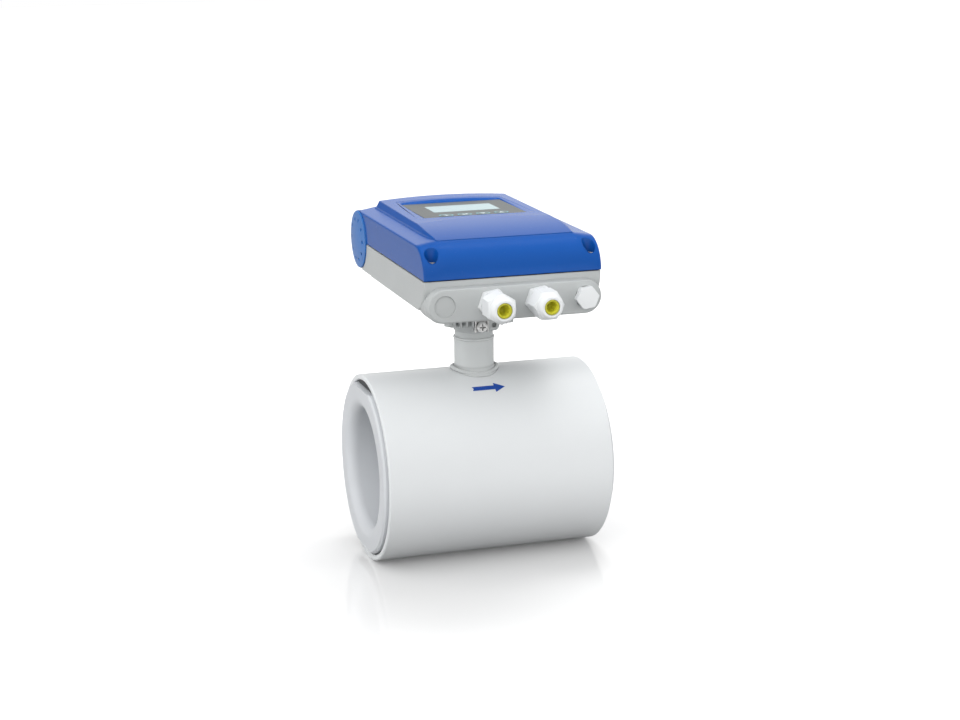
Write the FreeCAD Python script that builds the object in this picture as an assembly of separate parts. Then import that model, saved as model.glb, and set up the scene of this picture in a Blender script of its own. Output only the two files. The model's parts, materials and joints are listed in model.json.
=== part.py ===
import FreeCAD, Part
import math
import os

# Electromagnetic flow meter, wafer body of nominal bore 100, with a compact converter.
# Units are millimetres. The origin is the centre of the flow bore: +X is the flow
# direction, -Y the side with the cable entries, +Z points up to the converter.

V = FreeCAD.Vector

# Wafer body
FACE_TO_FACE = 200.0
FACE_STAND = 3.3
SHELL_R = 79.0
SHELL_WALL = 4.6
SHELL_EDGE = 0.8
BORE_R = 50.0
LINER_WALL = 4.0
LINER_MOUTH_R = 9.0
LINER_RIM_GAP = 1.3
LINER_RIM_EDGE = 1.6
LINER_FLAT_Z = 68.5
TUBE_WALL = 3.2
END_RING_T = 6.0
END_RING_SET = 7.0

# Electrodes
ELECTRODE_HEAD_R = 5.0
ELECTRODE_HEAD_T = 1.5
ELECTRODE_SINK = 0.1
ELECTRODE_PIN_R = 3.0
BUSH_WALL = 3.0
BUSH_FLANGE_T = 2.0
ELECTRODE_NUT_AF = 10.0
ELECTRODE_NUT_T = 4.0

# Magnet: pole shoes, saddle coils and the return yoke
POLE_T = 3.0
POLE_HALF_ANGLE = 33.0
POLE_HALF_X = 25.0
CORE_HALF_ANGLE = 8.0
CORE_HALF_X = 9.0
COIL_BAND = 11.0
COIL_T = 7.4
COIL_GAP = 0.4
YOKE_T = 2.0
YOKE_HALF_X = 28.0
YOKE_GAP = 0.3
YOKE_PORT_R = 9.0

# Signal and coil wires
WIRE_R = 1.1
WIRE_BEND = 8.0
WIRE_SHELL_GAP = 1.5
WIRE_ROW_Y = 9.0
COIL_WIRE_X = 7.0

# Neck and its weld
NECK_R = 16.85
NECK_WALL = 3.0
NECK_H = 28.0
NECK_EDGE = 1.6
WELD_LEG = 3.0

# Adapter casting between neck and housing
ADAPTER_COLLAR_R = 16.2
ADAPTER_COLLAR_H = 5.0
ADAPTER_CONE_H = 6.5
ADAPTER_BODY_R = 21.5
ADAPTER_H = 43.0
ADAPTER_FLANGE_HALF = 33.0
ADAPTER_FLANGE_T = 5.0
ADAPTER_FLANGE_R = 8.0
ADAPTER_GASKET_T = 1.0
EAR_R = 5.2
EAR_X = 25.0
EAR_Y = 15.0
EAR_RISE = 13.0
RIB_T = 1.8
RIB_PITCH = 5.0
RIB_COUNT = 4
RIB_REACH = 4.5
LUG_X = 10.5
LUG_RISE = 12.8
LUG_R = 4.6
LUG_HOLE_R = 2.1
LUG_T = 4.0

# Earth terminal on the adapter
EARTH_X = -1.0
EARTH_RISE = 12.5
EARTH_PAD_HALF = 6.6
EARTH_PAD_Y = -23.0
EARTH_CLAMP_T = 1.6
EARTH_WASHER_R = 5.0
EARTH_WASHER_T = 0.9
EARTH_HEAD_R = 4.6
EARTH_HEAD_H = 3.0
EARTH_SHANK_R = 2.0
EARTH_SHANK_L = 9.0

# Converter housing
HOUSING_HALF_X = 73.8
HOUSING_FRONT_Y = -107.0
HOUSING_H = 26.2
HOUSING_WALL = 4.0
HOUSING_FLOOR = 4.0
HOUSING_CORNER_R = 2.0
HOUSING_NOSE_R = 24.8
HOUSING_STEP_Y = 58.0
HOUSING_STEP = 1.5
CAVITY_REAR_Y = 62.0

# Cable entry boss with four places in a row
ENTRY_INSET = 15.4
ENTRY_RISE = 7.0
BOSS_R = 13.4
BOSS_STAND = 6.0
BOSS_DRAFT = 1.2
BOSS_DEPTH = 27.0
BOSS_EDGE = 0.9
BOSS_WALL = 4.0
ENTRY_R = 8.0
KNOCKOUT_R = 8.5
KNOCKOUT_SINK = 1.3

# Cable glands and blind plug
THREAD_GAP = 0.15
SPIGOT_L = 10.0
GLAND_HEX_R = 12.6
GLAND_HEX_T = 6.2
GLAND_HEX_TURN = 70.0
GLAND_NECK_R = 9.2
NECK_SHORT = 1.5
GLAND_SEAT_L = 7.0
GLAND_BORE_R = 4.6
NUT_HEX_R = 12.8
NUT_HEX_L = 17.6
NUT_DOME_L = 6.2
NUT_DOME_R = 10.3
NUT_LIP_R = 7.9
NUT_MOUTH_R = 6.35
NUT_GAP = 0.5
NUT_RUN_GAP = 0.3
NUT_TURNS = (30.0, 0.0)
INSERT_R = 6.1
INSERT_WALL = 1.3
INSERT_FLOOR = 1.5
INSERT_SINK = 0.2
SEAL_RING_T = 1.2
SEAL_RING_W = 0.9
PLUG_HEX_R = 9.7
PLUG_HEX_T = 6.0
PLUG_HEX_TURN = 8.0
PLUG_GROOVE_W = 0.7
PLUG_GROOVE_D = 0.9
PLUG_GROOVE_AT = 2.4

# Cover
COVER_GAP = 1.0
COVER_OVERHANG = 1.2
COVER_WALL = 4.0
COVER_EDGE = 1.4
SHOULDER_W = 13.3
SHOULDER_H = 25.8
SHOULDER_SLOPE = 10.0
NOSE_R = 24.8
CROWN_LEAN = 3.5
CROWN_FOOT_H = 2.35
CROWN_SIDE_H = 8.9
CROWN_MID_H = 11.3
CROWN_REAR = 8.0
BROW_Y = -15.0
BROW_SIDE_H = 8.0
BROW_MID_H = 8.3
BROW_R = 495.0
FACET_STEP = 0.7
FACET_STEP_H = 1.1
FACET_TURN_Y = -50.0
FACET_TIP_Y = -87.0
FACET_END_Y = -95.0
ROOF_INNER_H = 2.2
ROOF_FRONT_Y = -88.0
ROOF_NOSE_R = 22.0

# Hinge at the rear edge
HINGE_Y = 96.0
HINGE_RISE = 0.8
HINGE_R = 25.2
HINGE_RUN = 0.5
KNUCKLE_L = 25.8
KNUCKLE_GAP = 0.4
BARREL_CORE_R = 20.5
BARREL_END = 9.0
BARREL_SLOT_HALF = 13.0
SIDE_TAIL = 8.0
PIN_R = 3.0
PIN_RUN = 0.05
PIN_GRIP = 10.0
CAP_R = 24.9
CAP_SEAT = 2.5
CAP_SEAT_GAP = 0.1
CAP_RIM = 1.3
CAP_DOME = 1.6
CAP_DIMPLES = 10
CAP_DIMPLE_R = 1.5
CAP_DIMPLE_AT = 17.8
CAP_DIMPLE_DEPTH = 0.7

# Cover seal
COVER_SEAL_T = 0.8
COVER_SEAL_INSET = 0.9
COVER_SEAL_W = 2.2

# Cover screws
SCREW_INSET = 8.4
SCREW_INSET_Y = 7.2
SCREW_BORE_R = 5.4
SCREW_SEAT_H = 8.8
SCREW_HEAD_R = 4.2
SCREW_HEAD_H = 5.0
SCREW_SHANK_R = 2.5
SCREW_REACH = 9.0
SCREW_POST_R = 7.4
SCREW_RUN = 0.7
SCREW_SOCKET_R = 2.3
SCREW_SOCKET_DEPTH = 2.6
SCREW_EDGE = 0.5
SCREW_WELL_WALL = 2.6

# Display panel in the cover
PANEL_H = 6.5
PANEL_T = 1.6
PANEL_MARGIN_X = 16.2
PANEL_FRONT_Y = -10.0
PANEL_REAR_Y = 71.0
PANEL_FIT = 0.15
PANEL_LEDGE = 2.2
RECESS_RISE = 5.0
RECESS_SPREAD_REAR = 1.0
RECESS_SPREAD_FRONT = 0.5
RECESS_WIDEN_REAR = 3.8
RECESS_WIDEN_FRONT = 20.0
LCD_HALF_X = 29.0
LCD_FRONT_Y = 14.5
LCD_REAR_Y = 45.0
KEY_COUNT = 4
KEY_PITCH = 16.0
KEY_Y = -4.0
KEY_LENGTH = 13.0
KEY_WIDTH = 9.6
KEY_GAP = 0.3
KEY_STAND = 0.3
KEY_CAP_T = 1.3
KEY_STEM_L = 7.0
KEY_STEM_W = 5.2
KEY_TRAVEL = 0.5
KEY_EDGE = 0.3

# Electronics
TRAY_STANDOFF = 5.0
TRAY_T = 2.0
TRAY_GAP_X = 7.8
TRAY_FRONT_Y = -78.0
TRAY_REAR_Y = 56.0
TRAY_WALL = 2.0
TRAY_WALL_H = 6.0
TRAY_SCREW_INSET = 5.0
TRAY_POST_R = 4.0
BOARD_INSET_X = 6.0
BOARD_FRONT_Y = -48.0
BOARD_T = 1.6
LCD_BOARD_INSET_X = 16.0
LCD_BOARD_FRONT_Y = -12.0
LCD_BOARD_REAR_Y = 52.0
LCD_BODY_BORDER = 7.0
LCD_BODY_T = 7.0
LCD_BODY_GAP = 0.5
DISPLAY_POST_R = 2.6
DISPLAY_POST_INSET = 5.0
SWITCH_HALF = 3.0
SWITCH_BUTTON_R = 1.7
SWITCH_BODY_H = 3.0
SWITCH_GAP = 0.3
TERMINAL_POLES = 10
TERMINAL_PITCH = 6.0
TERMINAL_D = 15.0
TERMINAL_H = 12.0
TERMINAL_STEP = 3.5
TERMINAL_MOUTH = 1.7
TERMINAL_MOUTH_D = 6.0
TERMINAL_WELL = 3.5
TERMINAL_SCREW_R = 1.9
TERMINAL_SLOT = 0.35
TERMINAL_Y = -70.0
TRANSFORMER_INSET_X = 22.0
TRANSFORMER_Y = 20.0
TRANSFORMER_HALF = 15.0
TRANSFORMER_LEG = 3.0
TRANSFORMER_H = 21.0
BOARD_GRID = 2.0
CAPACITORS = ((11, 17, 3.25, 10), (11, 8.5, 3.25, 10), (2, 18, 2, 6), (23.5, 2.5, 2, 6))
CAN_EDGE = 0.8
CHIPS = ((0, 8, 3.5, 3.5), (-18, -11, 4, 2), (8, -12, 2.5, 4.5), (19, -13, 4.5, 3), (-6, -13, 2, 2))
CHIP_T = 2.4
SMALL_SCREW_R = 1.9
SMALL_SCREW_HEAD_R = 3.6
SMALL_SCREW_HEAD_H = 2.4
FLANGE_SCREW_HEAD_H = 4.0
FLANGE_SCREW_L = 16.0

# Places that follow from the sizes above
FACE_X = FACE_TO_FACE / 2
SHELL_HALF = FACE_X - FACE_STAND
SHELL_IN_R = SHELL_R - SHELL_WALL
TUBE_IN_R = BORE_R + LINER_WALL
TUBE_R = TUBE_IN_R + TUBE_WALL
RING_OUT_X = SHELL_HALF - END_RING_SET
RING_IN_X = RING_OUT_X - END_RING_T
POLE_IN_R = TUBE_R + 0.2
COIL_R = POLE_IN_R + COIL_T
YOKE_IN_R = COIL_R + YOKE_GAP
YOKE_R = YOKE_IN_R + YOKE_T
WIRE_RUN_R = SHELL_IN_R - WIRE_SHELL_GAP - WIRE_R
COIL_HALF_X = POLE_HALF_X + COIL_GAP + COIL_BAND
NECK_TOP_Z = SHELL_R + NECK_H
EAR_BOTTOM_Z = NECK_TOP_Z + EAR_RISE
LUG_Z = NECK_TOP_Z + LUG_RISE
EARTH_Z = NECK_TOP_Z + EARTH_RISE
ADAPTER_TOP_Z = NECK_TOP_Z + ADAPTER_H
HOUSING_BOTTOM_Z = ADAPTER_TOP_Z + ADAPTER_GASKET_T
HOUSING_SPLIT_Z = HOUSING_BOTTOM_Z + HOUSING_H
FLOOR_Z = HOUSING_BOTTOM_Z + HOUSING_FLOOR
SPLIT_UP_Z = HOUSING_SPLIT_Z + COVER_GAP
SHOULDER_Z = HOUSING_SPLIT_Z + SHOULDER_H
COVER_FRONT_Y = HOUSING_FRONT_Y - COVER_OVERHANG
CROWN_FOOT_X = HOUSING_HALF_X - SHOULDER_W
CROWN_TOP_X = CROWN_FOOT_X - CROWN_LEAN
CROWN_FOOT_Z = SHOULDER_Z + CROWN_FOOT_H
CROWN_SIDE_Z = SHOULDER_Z + CROWN_SIDE_H
CROWN_MID_Z = SHOULDER_Z + CROWN_MID_H
BROW_SIDE_Z = SHOULDER_Z + BROW_SIDE_H
BROW_MID_Z = SHOULDER_Z + BROW_MID_H
SHOULDER_RISE = (HOUSING_HALF_X - CROWN_TOP_X) * math.tan(math.radians(SHOULDER_SLOPE))
NOSE_Y = COVER_FRONT_Y + NOSE_R
NOSE_Z = SHOULDER_Z + SHOULDER_RISE - NOSE_R
ROOF_INNER_Z = SHOULDER_Z + ROOF_INNER_H
COVER_INNER_HALF_X = CROWN_TOP_X - COVER_WALL + 1
PANEL_Z = SHOULDER_Z + PANEL_H
PANEL_HALF_X = CROWN_FOOT_X - PANEL_MARGIN_X
HINGE_Z = HOUSING_SPLIT_Z + HINGE_RISE
KNUCKLE_X = HOUSING_HALF_X - KNUCKLE_L
BARREL_CORE_HALF_X = KNUCKLE_X - BARREL_END
PIN_IN_X = KNUCKLE_X - PIN_GRIP
SCREW_X = HOUSING_HALF_X - SCREW_INSET
SCREW_Y = HOUSING_FRONT_Y + SCREW_INSET_Y
SCREW_SEAT_Z = HOUSING_SPLIT_Z + SCREW_SEAT_H
BOSS_FRONT_Y = HOUSING_FRONT_Y - BOSS_STAND
ENTRY_Z = HOUSING_BOTTOM_Z + ENTRY_RISE
ENTRY_X = [(HOUSING_HALF_X - ENTRY_INSET) * (i - 1.5) / 1.5 for i in range(4)]
INNER_HALF_X = HOUSING_HALF_X - HOUSING_WALL
INNER_FRONT_Y = HOUSING_FRONT_Y + HOUSING_WALL
WALL_REAR_Y = CAVITY_REAR_Y + HOUSING_WALL
TRAY_Z = FLOOR_Z + TRAY_STANDOFF
TRAY_HALF_X = INNER_HALF_X - TRAY_GAP_X
BOARD_HALF_X = TRAY_HALF_X - BOARD_INSET_X
LCD_BOARD_HALF_X = BOARD_HALF_X - LCD_BOARD_INSET_X
TRANSFORMER_X = TRANSFORMER_INSET_X - BOARD_HALF_X
BOARD_REAR_Y = TRAY_REAR_Y - 2 * TRAY_SCREW_INSET
BOARD_Z = TRAY_Z + TRAY_T + TRAY_WALL_H
BOARD_TOP_Z = BOARD_Z + BOARD_T
PANEL_UNDER_Z = PANEL_Z - PANEL_T
LCD_TOP_Z = PANEL_UNDER_Z - LCD_BODY_GAP
LCD_BOARD_TOP_Z = LCD_TOP_Z - LCD_BODY_T
LCD_BOARD_Z = LCD_BOARD_TOP_Z - BOARD_T
KEY_TOP_Z = PANEL_Z + KEY_STAND
SWITCH_TOP_Z = LCD_BOARD_TOP_Z + SWITCH_BODY_H + 1.2
KEY_FOOT_Z = SWITCH_TOP_Z + SWITCH_GAP + KEY_TRAVEL
KEY_X = [(i - (KEY_COUNT - 1) / 2) * KEY_PITCH for i in range(KEY_COUNT)]
CAP_OUT_X = HOUSING_HALF_X + CAP_RIM


# Basic shapes
def box(x0, x1, y0, y1, z0, z1):
    return Part.makeBox(x1 - x0, y1 - y0, z1 - z0, V(x0, y0, z0))


def rod(radius, start, end):
    return Part.makeCylinder(radius, (end - start).Length, start, end - start)


def pipe(outer, inner, start, end):
    return rod(outer, start, end).cut(rod(inner, start, end))


def cone(r_start, r_end, start, end):
    return Part.makeCone(r_start, r_end, (end - start).Length, start, end - start)


def polygon(points):
    return Part.Face(Part.makePolygon(points + points[:1]))


def union(shapes):
    return shapes[0].multiFuse(shapes[1:]).removeSplitter()


def without(shape, tools):
    for tool in tools:
        shape = shape.cut(tool)
    return shape


def mirrored(shape):
    return shape.mirror(V(0, 0, 0), V(1, 0, 0))


def rounded(shape, radius, chosen):
    return shape.makeFillet(radius, [e for e in shape.Edges if chosen(e)])


def broken(shape, width, chosen):
    return shape.makeChamfer(width, [e for e in shape.Edges if chosen(e)])


def lies_at(edge, axis, value):
    bounds = edge.BoundBox
    low = {"x": bounds.XMin, "y": bounds.YMin, "z": bounds.ZMin}[axis]
    high = {"x": bounds.XMax, "y": bounds.YMax, "z": bounds.ZMax}[axis]
    return abs(low - value) < 0.01 and abs(high - value) < 0.01


def is_upright(edge):
    bounds = edge.BoundBox
    return bounds.XLength < 0.01 and bounds.YLength < 0.01


def spun(points, origin, axis, angle=360.0):
    return polygon(points).revolve(origin, axis, angle)


def spun_on_x(points, angle=360.0):
    """Turn a section of (x, radius) points about the flow axis."""
    return spun([V(x, 0, r) for x, r in points], V(0, 0, 0), V(1, 0, 0), angle)


def spun_on_entry(points, x):
    """Turn a section of (distance in front of the boss, radius) points about an entry."""
    section = [V(x, BOSS_FRONT_Y - d, ENTRY_Z + r) for d, r in points]
    return spun(section, V(x, 0, ENTRY_Z), V(0, 1, 0))


def hexagon_on_entry(vertex_r, turn, x, d0, d1):
    """Hexagonal prism along an entry, from d0 to d1 in front of the boss."""
    corners = []
    for k in range(6):
        a = math.radians(turn + 60 * k)
        corners.append(V(x + vertex_r * math.cos(a), BOSS_FRONT_Y - d0,
                         ENTRY_Z + vertex_r * math.sin(a)))
    return polygon(corners).extrude(V(0, d0 - d1, 0))


def stadium(half, radius, y, direction):
    """Row-shaped plate round the entries, straight between two half circles."""
    top_left = V(-half, y, ENTRY_Z + radius)
    top_right = V(half, y, ENTRY_Z + radius)
    low_left = V(-half, y, ENTRY_Z - radius)
    low_right = V(half, y, ENTRY_Z - radius)
    edges = [
        Part.LineSegment(top_left, top_right).toShape(),
        Part.Arc(top_right, V(half + radius, y, ENTRY_Z), low_right).toShape(),
        Part.LineSegment(low_right, low_left).toShape(),
        Part.Arc(low_left, V(-half - radius, y, ENTRY_Z), top_left).toShape(),
    ]
    wire = Part.Wire(edges)
    if direction is None:
        return wire
    return Part.Face(wire).extrude(direction)


def sector(r_in, r_out, half_x, half_angle, middle):
    """Part of a ring about the flow axis, centred on the angle middle (90 is up)."""
    section = [V(-half_x, r_in, 0), V(half_x, r_in, 0), V(half_x, r_out, 0), V(-half_x, r_out, 0)]
    start = middle - half_angle
    face = polygon(section)
    face.rotate(V(0, 0, 0), V(1, 0, 0), start)
    return face.revolve(V(0, 0, 0), V(1, 0, 0), 2 * half_angle)


# Wafer body
def sensor_shell():
    shell = pipe(SHELL_R, SHELL_IN_R, V(-SHELL_HALF, 0, 0), V(SHELL_HALF, 0, 0))
    port = rod(NECK_R - NECK_WALL, V(0, 0, 0), V(0, 0, SHELL_R + 1))
    rims = lambda e: lies_at(e, "x", SHELL_HALF) or lies_at(e, "x", -SHELL_HALF)
    return broken(shell, SHELL_EDGE, rims).cut(port)


def end_ring(side):
    return pipe(SHELL_IN_R, TUBE_R, V(side * RING_IN_X, 0, 0), V(side * RING_OUT_X, 0, 0))


def measuring_tube():
    tube = pipe(TUBE_R, TUBE_IN_R, V(-RING_OUT_X, 0, 0), V(RING_OUT_X, 0, 0))
    port = rod(ELECTRODE_PIN_R + BUSH_WALL, V(0, -TUBE_R - 1, 0), V(0, TUBE_R + 1, 0))
    return tube.cut(port)


def liner():
    """Lining tube with a wide raised face at each end and a trumpet mouth."""
    rim_r = SHELL_IN_R - LINER_RIM_GAP
    half = [(0, BORE_R), (0, TUBE_IN_R), (RING_OUT_X, TUBE_IN_R), (RING_OUT_X, rim_r),
            (FACE_X - LINER_RIM_EDGE, rim_r), (FACE_X, rim_r - LINER_RIM_EDGE), (FACE_X, BORE_R)]
    body = spun_on_x(half)
    body = body.fuse(mirrored(body)).removeSplitter()
    mouth = lambda e: (abs(e.BoundBox.ZMax - BORE_R) < 0.01 and abs(abs(e.BoundBox.XMin) - FACE_X) < 0.01
                       and e.BoundBox.XLength < 0.01)
    body = rounded(body, LINER_MOUTH_R, mouth)
    for side in (-1, 1):
        for up in (-1, 1):
            x0, x1 = sorted((side * RING_OUT_X, side * (FACE_X + 1)))
            z0, z1 = sorted((up * LINER_FLAT_Z, up * SHELL_R))
            body = body.cut(box(x0, x1, -SHELL_R, SHELL_R, z0, z1))
    head = BORE_R + ELECTRODE_SINK + ELECTRODE_HEAD_T
    body = body.cut(rod(ELECTRODE_HEAD_R, V(0, -head, 0), V(0, head, 0)))
    return body.cut(rod(ELECTRODE_PIN_R, V(0, -TUBE_R, 0), V(0, TUBE_R, 0)))


# Electrodes
def electrode(side):
    inner = BORE_R + ELECTRODE_SINK
    head = rod(ELECTRODE_HEAD_R, V(0, side * inner, 0), V(0, side * (inner + ELECTRODE_HEAD_T), 0))
    tip = WIRE_RUN_R - WIRE_R
    pin = rod(ELECTRODE_PIN_R, V(0, side * inner, 0), V(0, side * tip, 0))
    return head.fuse(pin).removeSplitter()


def electrode_bush(side):
    """Insulating bush in the tube wall, with a flange outside and the nut against it."""
    flange_r = ELECTRODE_PIN_R + BUSH_WALL + 1.5
    flange_end = TUBE_R + BUSH_FLANGE_T
    sleeve = rod(ELECTRODE_PIN_R + BUSH_WALL, V(0, side * TUBE_IN_R, 0), V(0, side * flange_end, 0))
    flange = rod(flange_r, V(0, side * (TUBE_R - TUBE_WALL / 2), 0), V(0, side * flange_end, 0))
    bore = rod(ELECTRODE_PIN_R, V(0, 0, 0), V(0, side * YOKE_R, 0))
    wall = pipe(TUBE_R, TUBE_IN_R, V(-FACE_X, 0, 0), V(FACE_X, 0, 0))
    lining = rod(TUBE_IN_R, V(-FACE_X, 0, 0), V(FACE_X, 0, 0))
    return sleeve.fuse(flange.cut(wall)).cut(lining).cut(bore)


def electrode_nut(side):
    start = TUBE_R + BUSH_FLANGE_T
    radius = ELECTRODE_NUT_AF / math.sqrt(3)
    corners = [V(radius * math.cos(math.radians(60 * k)), side * start,
                 radius * math.sin(math.radians(60 * k))) for k in range(6)]
    nut = polygon(corners).extrude(V(0, side * ELECTRODE_NUT_T, 0))
    return nut.cut(rod(ELECTRODE_PIN_R, V(0, 0, 0), V(0, side * YOKE_R, 0)))


# Magnet
def pole(middle):
    """Curved shoe on the tube, with a core that reaches through the coil to the yoke."""
    shoe = sector(POLE_IN_R, POLE_IN_R + POLE_T, POLE_HALF_X, POLE_HALF_ANGLE, middle)
    core = sector(POLE_IN_R, YOKE_IN_R, CORE_HALF_X, CORE_HALF_ANGLE, middle)
    return shoe.fuse(core).removeSplitter()


def coil(middle):
    """Saddle coil: a curved frame of winding laid round the pole shoe."""
    gap_angle = math.degrees(COIL_GAP / POLE_IN_R)
    band_angle = math.degrees(COIL_BAND / POLE_IN_R)
    inner_angle = POLE_HALF_ANGLE + gap_angle
    outer = sector(POLE_IN_R, COIL_R, COIL_HALF_X, inner_angle + band_angle, middle)
    window = sector(POLE_IN_R - 1, COIL_R + 1, POLE_HALF_X + COIL_GAP, inner_angle, middle)
    return outer.cut(window)


def yoke_ring():
    ring = pipe(YOKE_R, YOKE_IN_R, V(-YOKE_HALF_X, 0, 0), V(YOKE_HALF_X, 0, 0))
    return ring.cut(rod(YOKE_PORT_R, V(0, -YOKE_R - 1, 0), V(0, YOKE_R + 1, 0)))


def strand(centre, along):
    """Hexagonal wire section about a centre, square to the direction along."""
    across = V(0, 1, 0)
    up = along.cross(across)
    corners = []
    for k in range(6):
        a = math.radians(60 * k)
        corners.append(centre + across * (WIRE_R * math.cos(a)) + up * (WIRE_R * math.sin(a)))
    return polygon(corners)


def lead(start, end):
    """Straight stretch of wire."""
    return strand(start, (end - start).normalize()).extrude(end - start)


def electrode_wire(side):
    """Signal wire from an electrode tip, round under the shell and up the neck."""
    row = WIRE_ROW_Y
    bend_y = row + WIRE_BEND
    bend_z = math.sqrt((WIRE_RUN_R + WIRE_BEND) ** 2 - bend_y ** 2)
    lean = math.degrees(math.asin(bend_y / (WIRE_RUN_R + WIRE_BEND)))
    upward = V(0, 0, 1)
    run = strand(V(0, -WIRE_RUN_R, 0), upward).revolve(V(0, 0, 0), V(1, 0, 0), -(90 - lean))
    turn = strand(V(0, -row, bend_z), upward).revolve(V(0, -bend_y, bend_z), V(1, 0, 0), -(90 - lean))
    riser = lead(V(0, -row, bend_z), V(0, -row, TRAY_Z + TRAY_T))
    wire = run.fuse(turn).fuse(riser)
    if side > 0:
        wire = wire.mirror(V(0, 0, 0), V(0, 1, 0))
    return wire


def coil_wire(side):
    """Supply wire from the winding, over the yoke and up the neck."""
    far = side * (COIL_HALF_X - COIL_BAND / 2)
    near = side * COIL_WIRE_X
    foot = lead(V(far, 0, COIL_R), V(far, 0, WIRE_RUN_R + WIRE_R))
    along = lead(V(far, 0, WIRE_RUN_R), V(near, 0, WIRE_RUN_R))
    riser = lead(V(near, 0, WIRE_RUN_R - WIRE_R), V(near, 0, TRAY_Z + TRAY_T))
    return union([foot, along, riser])


def coil_link():
    """Wire that joins the two coils in series, along the rear of the tube."""
    x = COIL_HALF_X - COIL_BAND / 2
    radius = COIL_R + WIRE_R
    half = 90 - POLE_HALF_ANGLE - 5
    section = strand(V(x, radius, 0), V(0, 0, 1))
    section.rotate(V(0, 0, 0), V(1, 0, 0), -half)
    return section.revolve(V(0, 0, 0), V(1, 0, 0), 2 * half)


# Neck
def neck_tube():
    """Pipe stub saddled onto the shell, with its weld bead and a bevelled top edge."""
    drum = rod(SHELL_R, V(-SHELL_HALF, 0, 0), V(SHELL_HALF, 0, 0))
    stub = rod(NECK_R, V(0, 0, 0), V(0, 0, NECK_TOP_Z))
    stub = broken(stub, NECK_EDGE, lambda e: lies_at(e, "z", NECK_TOP_Z))
    bead_top = SHELL_R + WELD_LEG
    bead_foot = SHELL_R - WELD_LEG
    bead = cone(NECK_R + bead_top - bead_foot, NECK_R, V(0, 0, bead_foot), V(0, 0, bead_top))
    bore = rod(NECK_R - NECK_WALL, V(0, 0, 0), V(0, 0, NECK_TOP_Z + 1))
    return without(stub.fuse(bead), [drum, bore])


# Adapter casting
def neck_adapter():
    """Cast foot of the housing: collar, cone, drum, screw ears, ribs and a flange."""
    bore_r = NECK_R - NECK_WALL
    cone_z = NECK_TOP_Z + ADAPTER_COLLAR_H
    drum_z = cone_z + ADAPTER_CONE_H
    flange_z = ADAPTER_TOP_Z - ADAPTER_FLANGE_T
    half = ADAPTER_FLANGE_HALF
    flange = rounded(box(-half, half, -half, half, flange_z, ADAPTER_TOP_Z), ADAPTER_FLANGE_R, is_upright)
    solids = [
        rod(ADAPTER_COLLAR_R, V(0, 0, NECK_TOP_Z), V(0, 0, cone_z)),
        cone(ADAPTER_COLLAR_R, ADAPTER_BODY_R, V(0, 0, cone_z), V(0, 0, drum_z)),
        rod(ADAPTER_BODY_R, V(0, 0, drum_z), V(0, 0, flange_z)),
        flange,
    ]
    for x, y in ear_places():
        solids.append(rod(EAR_R, V(x, y, EAR_BOTTOM_Z), V(x, y, flange_z)))
        solids.append(ear_web(x, y, drum_z))
    for k in range(RIB_COUNT):
        x = EARTH_X - EARTH_PAD_HALF - RIB_T - k * RIB_PITCH
        solids.append(box(x, x + RIB_T, -ADAPTER_BODY_R - RIB_REACH + k, 0, drum_z + 1, flange_z))
    solids.append(box(EARTH_X - EARTH_PAD_HALF, EARTH_X + EARTH_PAD_HALF, EARTH_PAD_Y, 0,
                      EARTH_Z - EARTH_PAD_HALF + 1.5, EARTH_Z + EARTH_PAD_HALF))
    solids.append(rod(LUG_R, V(LUG_X, EARTH_PAD_Y - 1, LUG_Z), V(LUG_X, EARTH_PAD_Y + LUG_T, LUG_Z)))
    solids.append(box(LUG_X - LUG_R, LUG_X, EARTH_PAD_Y - 1, EARTH_PAD_Y + LUG_T,
                      LUG_Z - LUG_R, LUG_Z + LUG_R))
    solids.append(box(LUG_X - LUG_R, LUG_X + LUG_R, EARTH_PAD_Y + 1, -10, LUG_Z, flange_z))
    body = union(solids)
    tools = [
        rod(bore_r, V(0, 0, NECK_TOP_Z - 1), V(0, 0, HOUSING_BOTTOM_Z)),
        rod(LUG_HOLE_R, V(LUG_X, EARTH_PAD_Y - 2, LUG_Z), V(LUG_X, -ADAPTER_BODY_R + 2, LUG_Z)),
        rod(EARTH_SHANK_R + NUT_RUN_GAP, V(EARTH_X, EARTH_PAD_Y - 1, EARTH_Z),
            V(EARTH_X, EARTH_PAD_Y - EARTH_CLAMP_T + EARTH_SHANK_L, EARTH_Z)),
    ]
    for x, y in ear_places():
        tools.append(rod(SCREW_SHANK_R, V(x, y, FLOOR_Z - FLANGE_SCREW_L), V(x, y, FLOOR_Z)))
    return without(body, tools)


def ear_places():
    return [(sx * EAR_X, sy * EAR_Y) for sx in (-1, 1) for sy in (-1, 1)]


def ear_web(x, y, low_z):
    """Web that ties an ear to the drum."""
    length = math.hypot(x, y)
    side = V(-y / length * RIB_T, x / length * RIB_T, 0)
    foot = V(0, 0, low_z)
    reach = V(x, y, low_z)
    corners = [foot - side, reach - side, reach + side, foot + side]
    return polygon(corners).extrude(V(0, 0, ADAPTER_TOP_Z - ADAPTER_FLANGE_T - low_z))


def adapter_screws():
    solids = []
    for x, y in ear_places():
        shank = rod(SCREW_SHANK_R, V(x, y, FLOOR_Z - FLANGE_SCREW_L), V(x, y, FLOOR_Z))
        head = rod(SCREW_HEAD_R, V(x, y, FLOOR_Z), V(x, y, FLOOR_Z + FLANGE_SCREW_HEAD_H))
        solids.append(shank.fuse(head).removeSplitter())
    return Part.Compound(solids)


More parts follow.
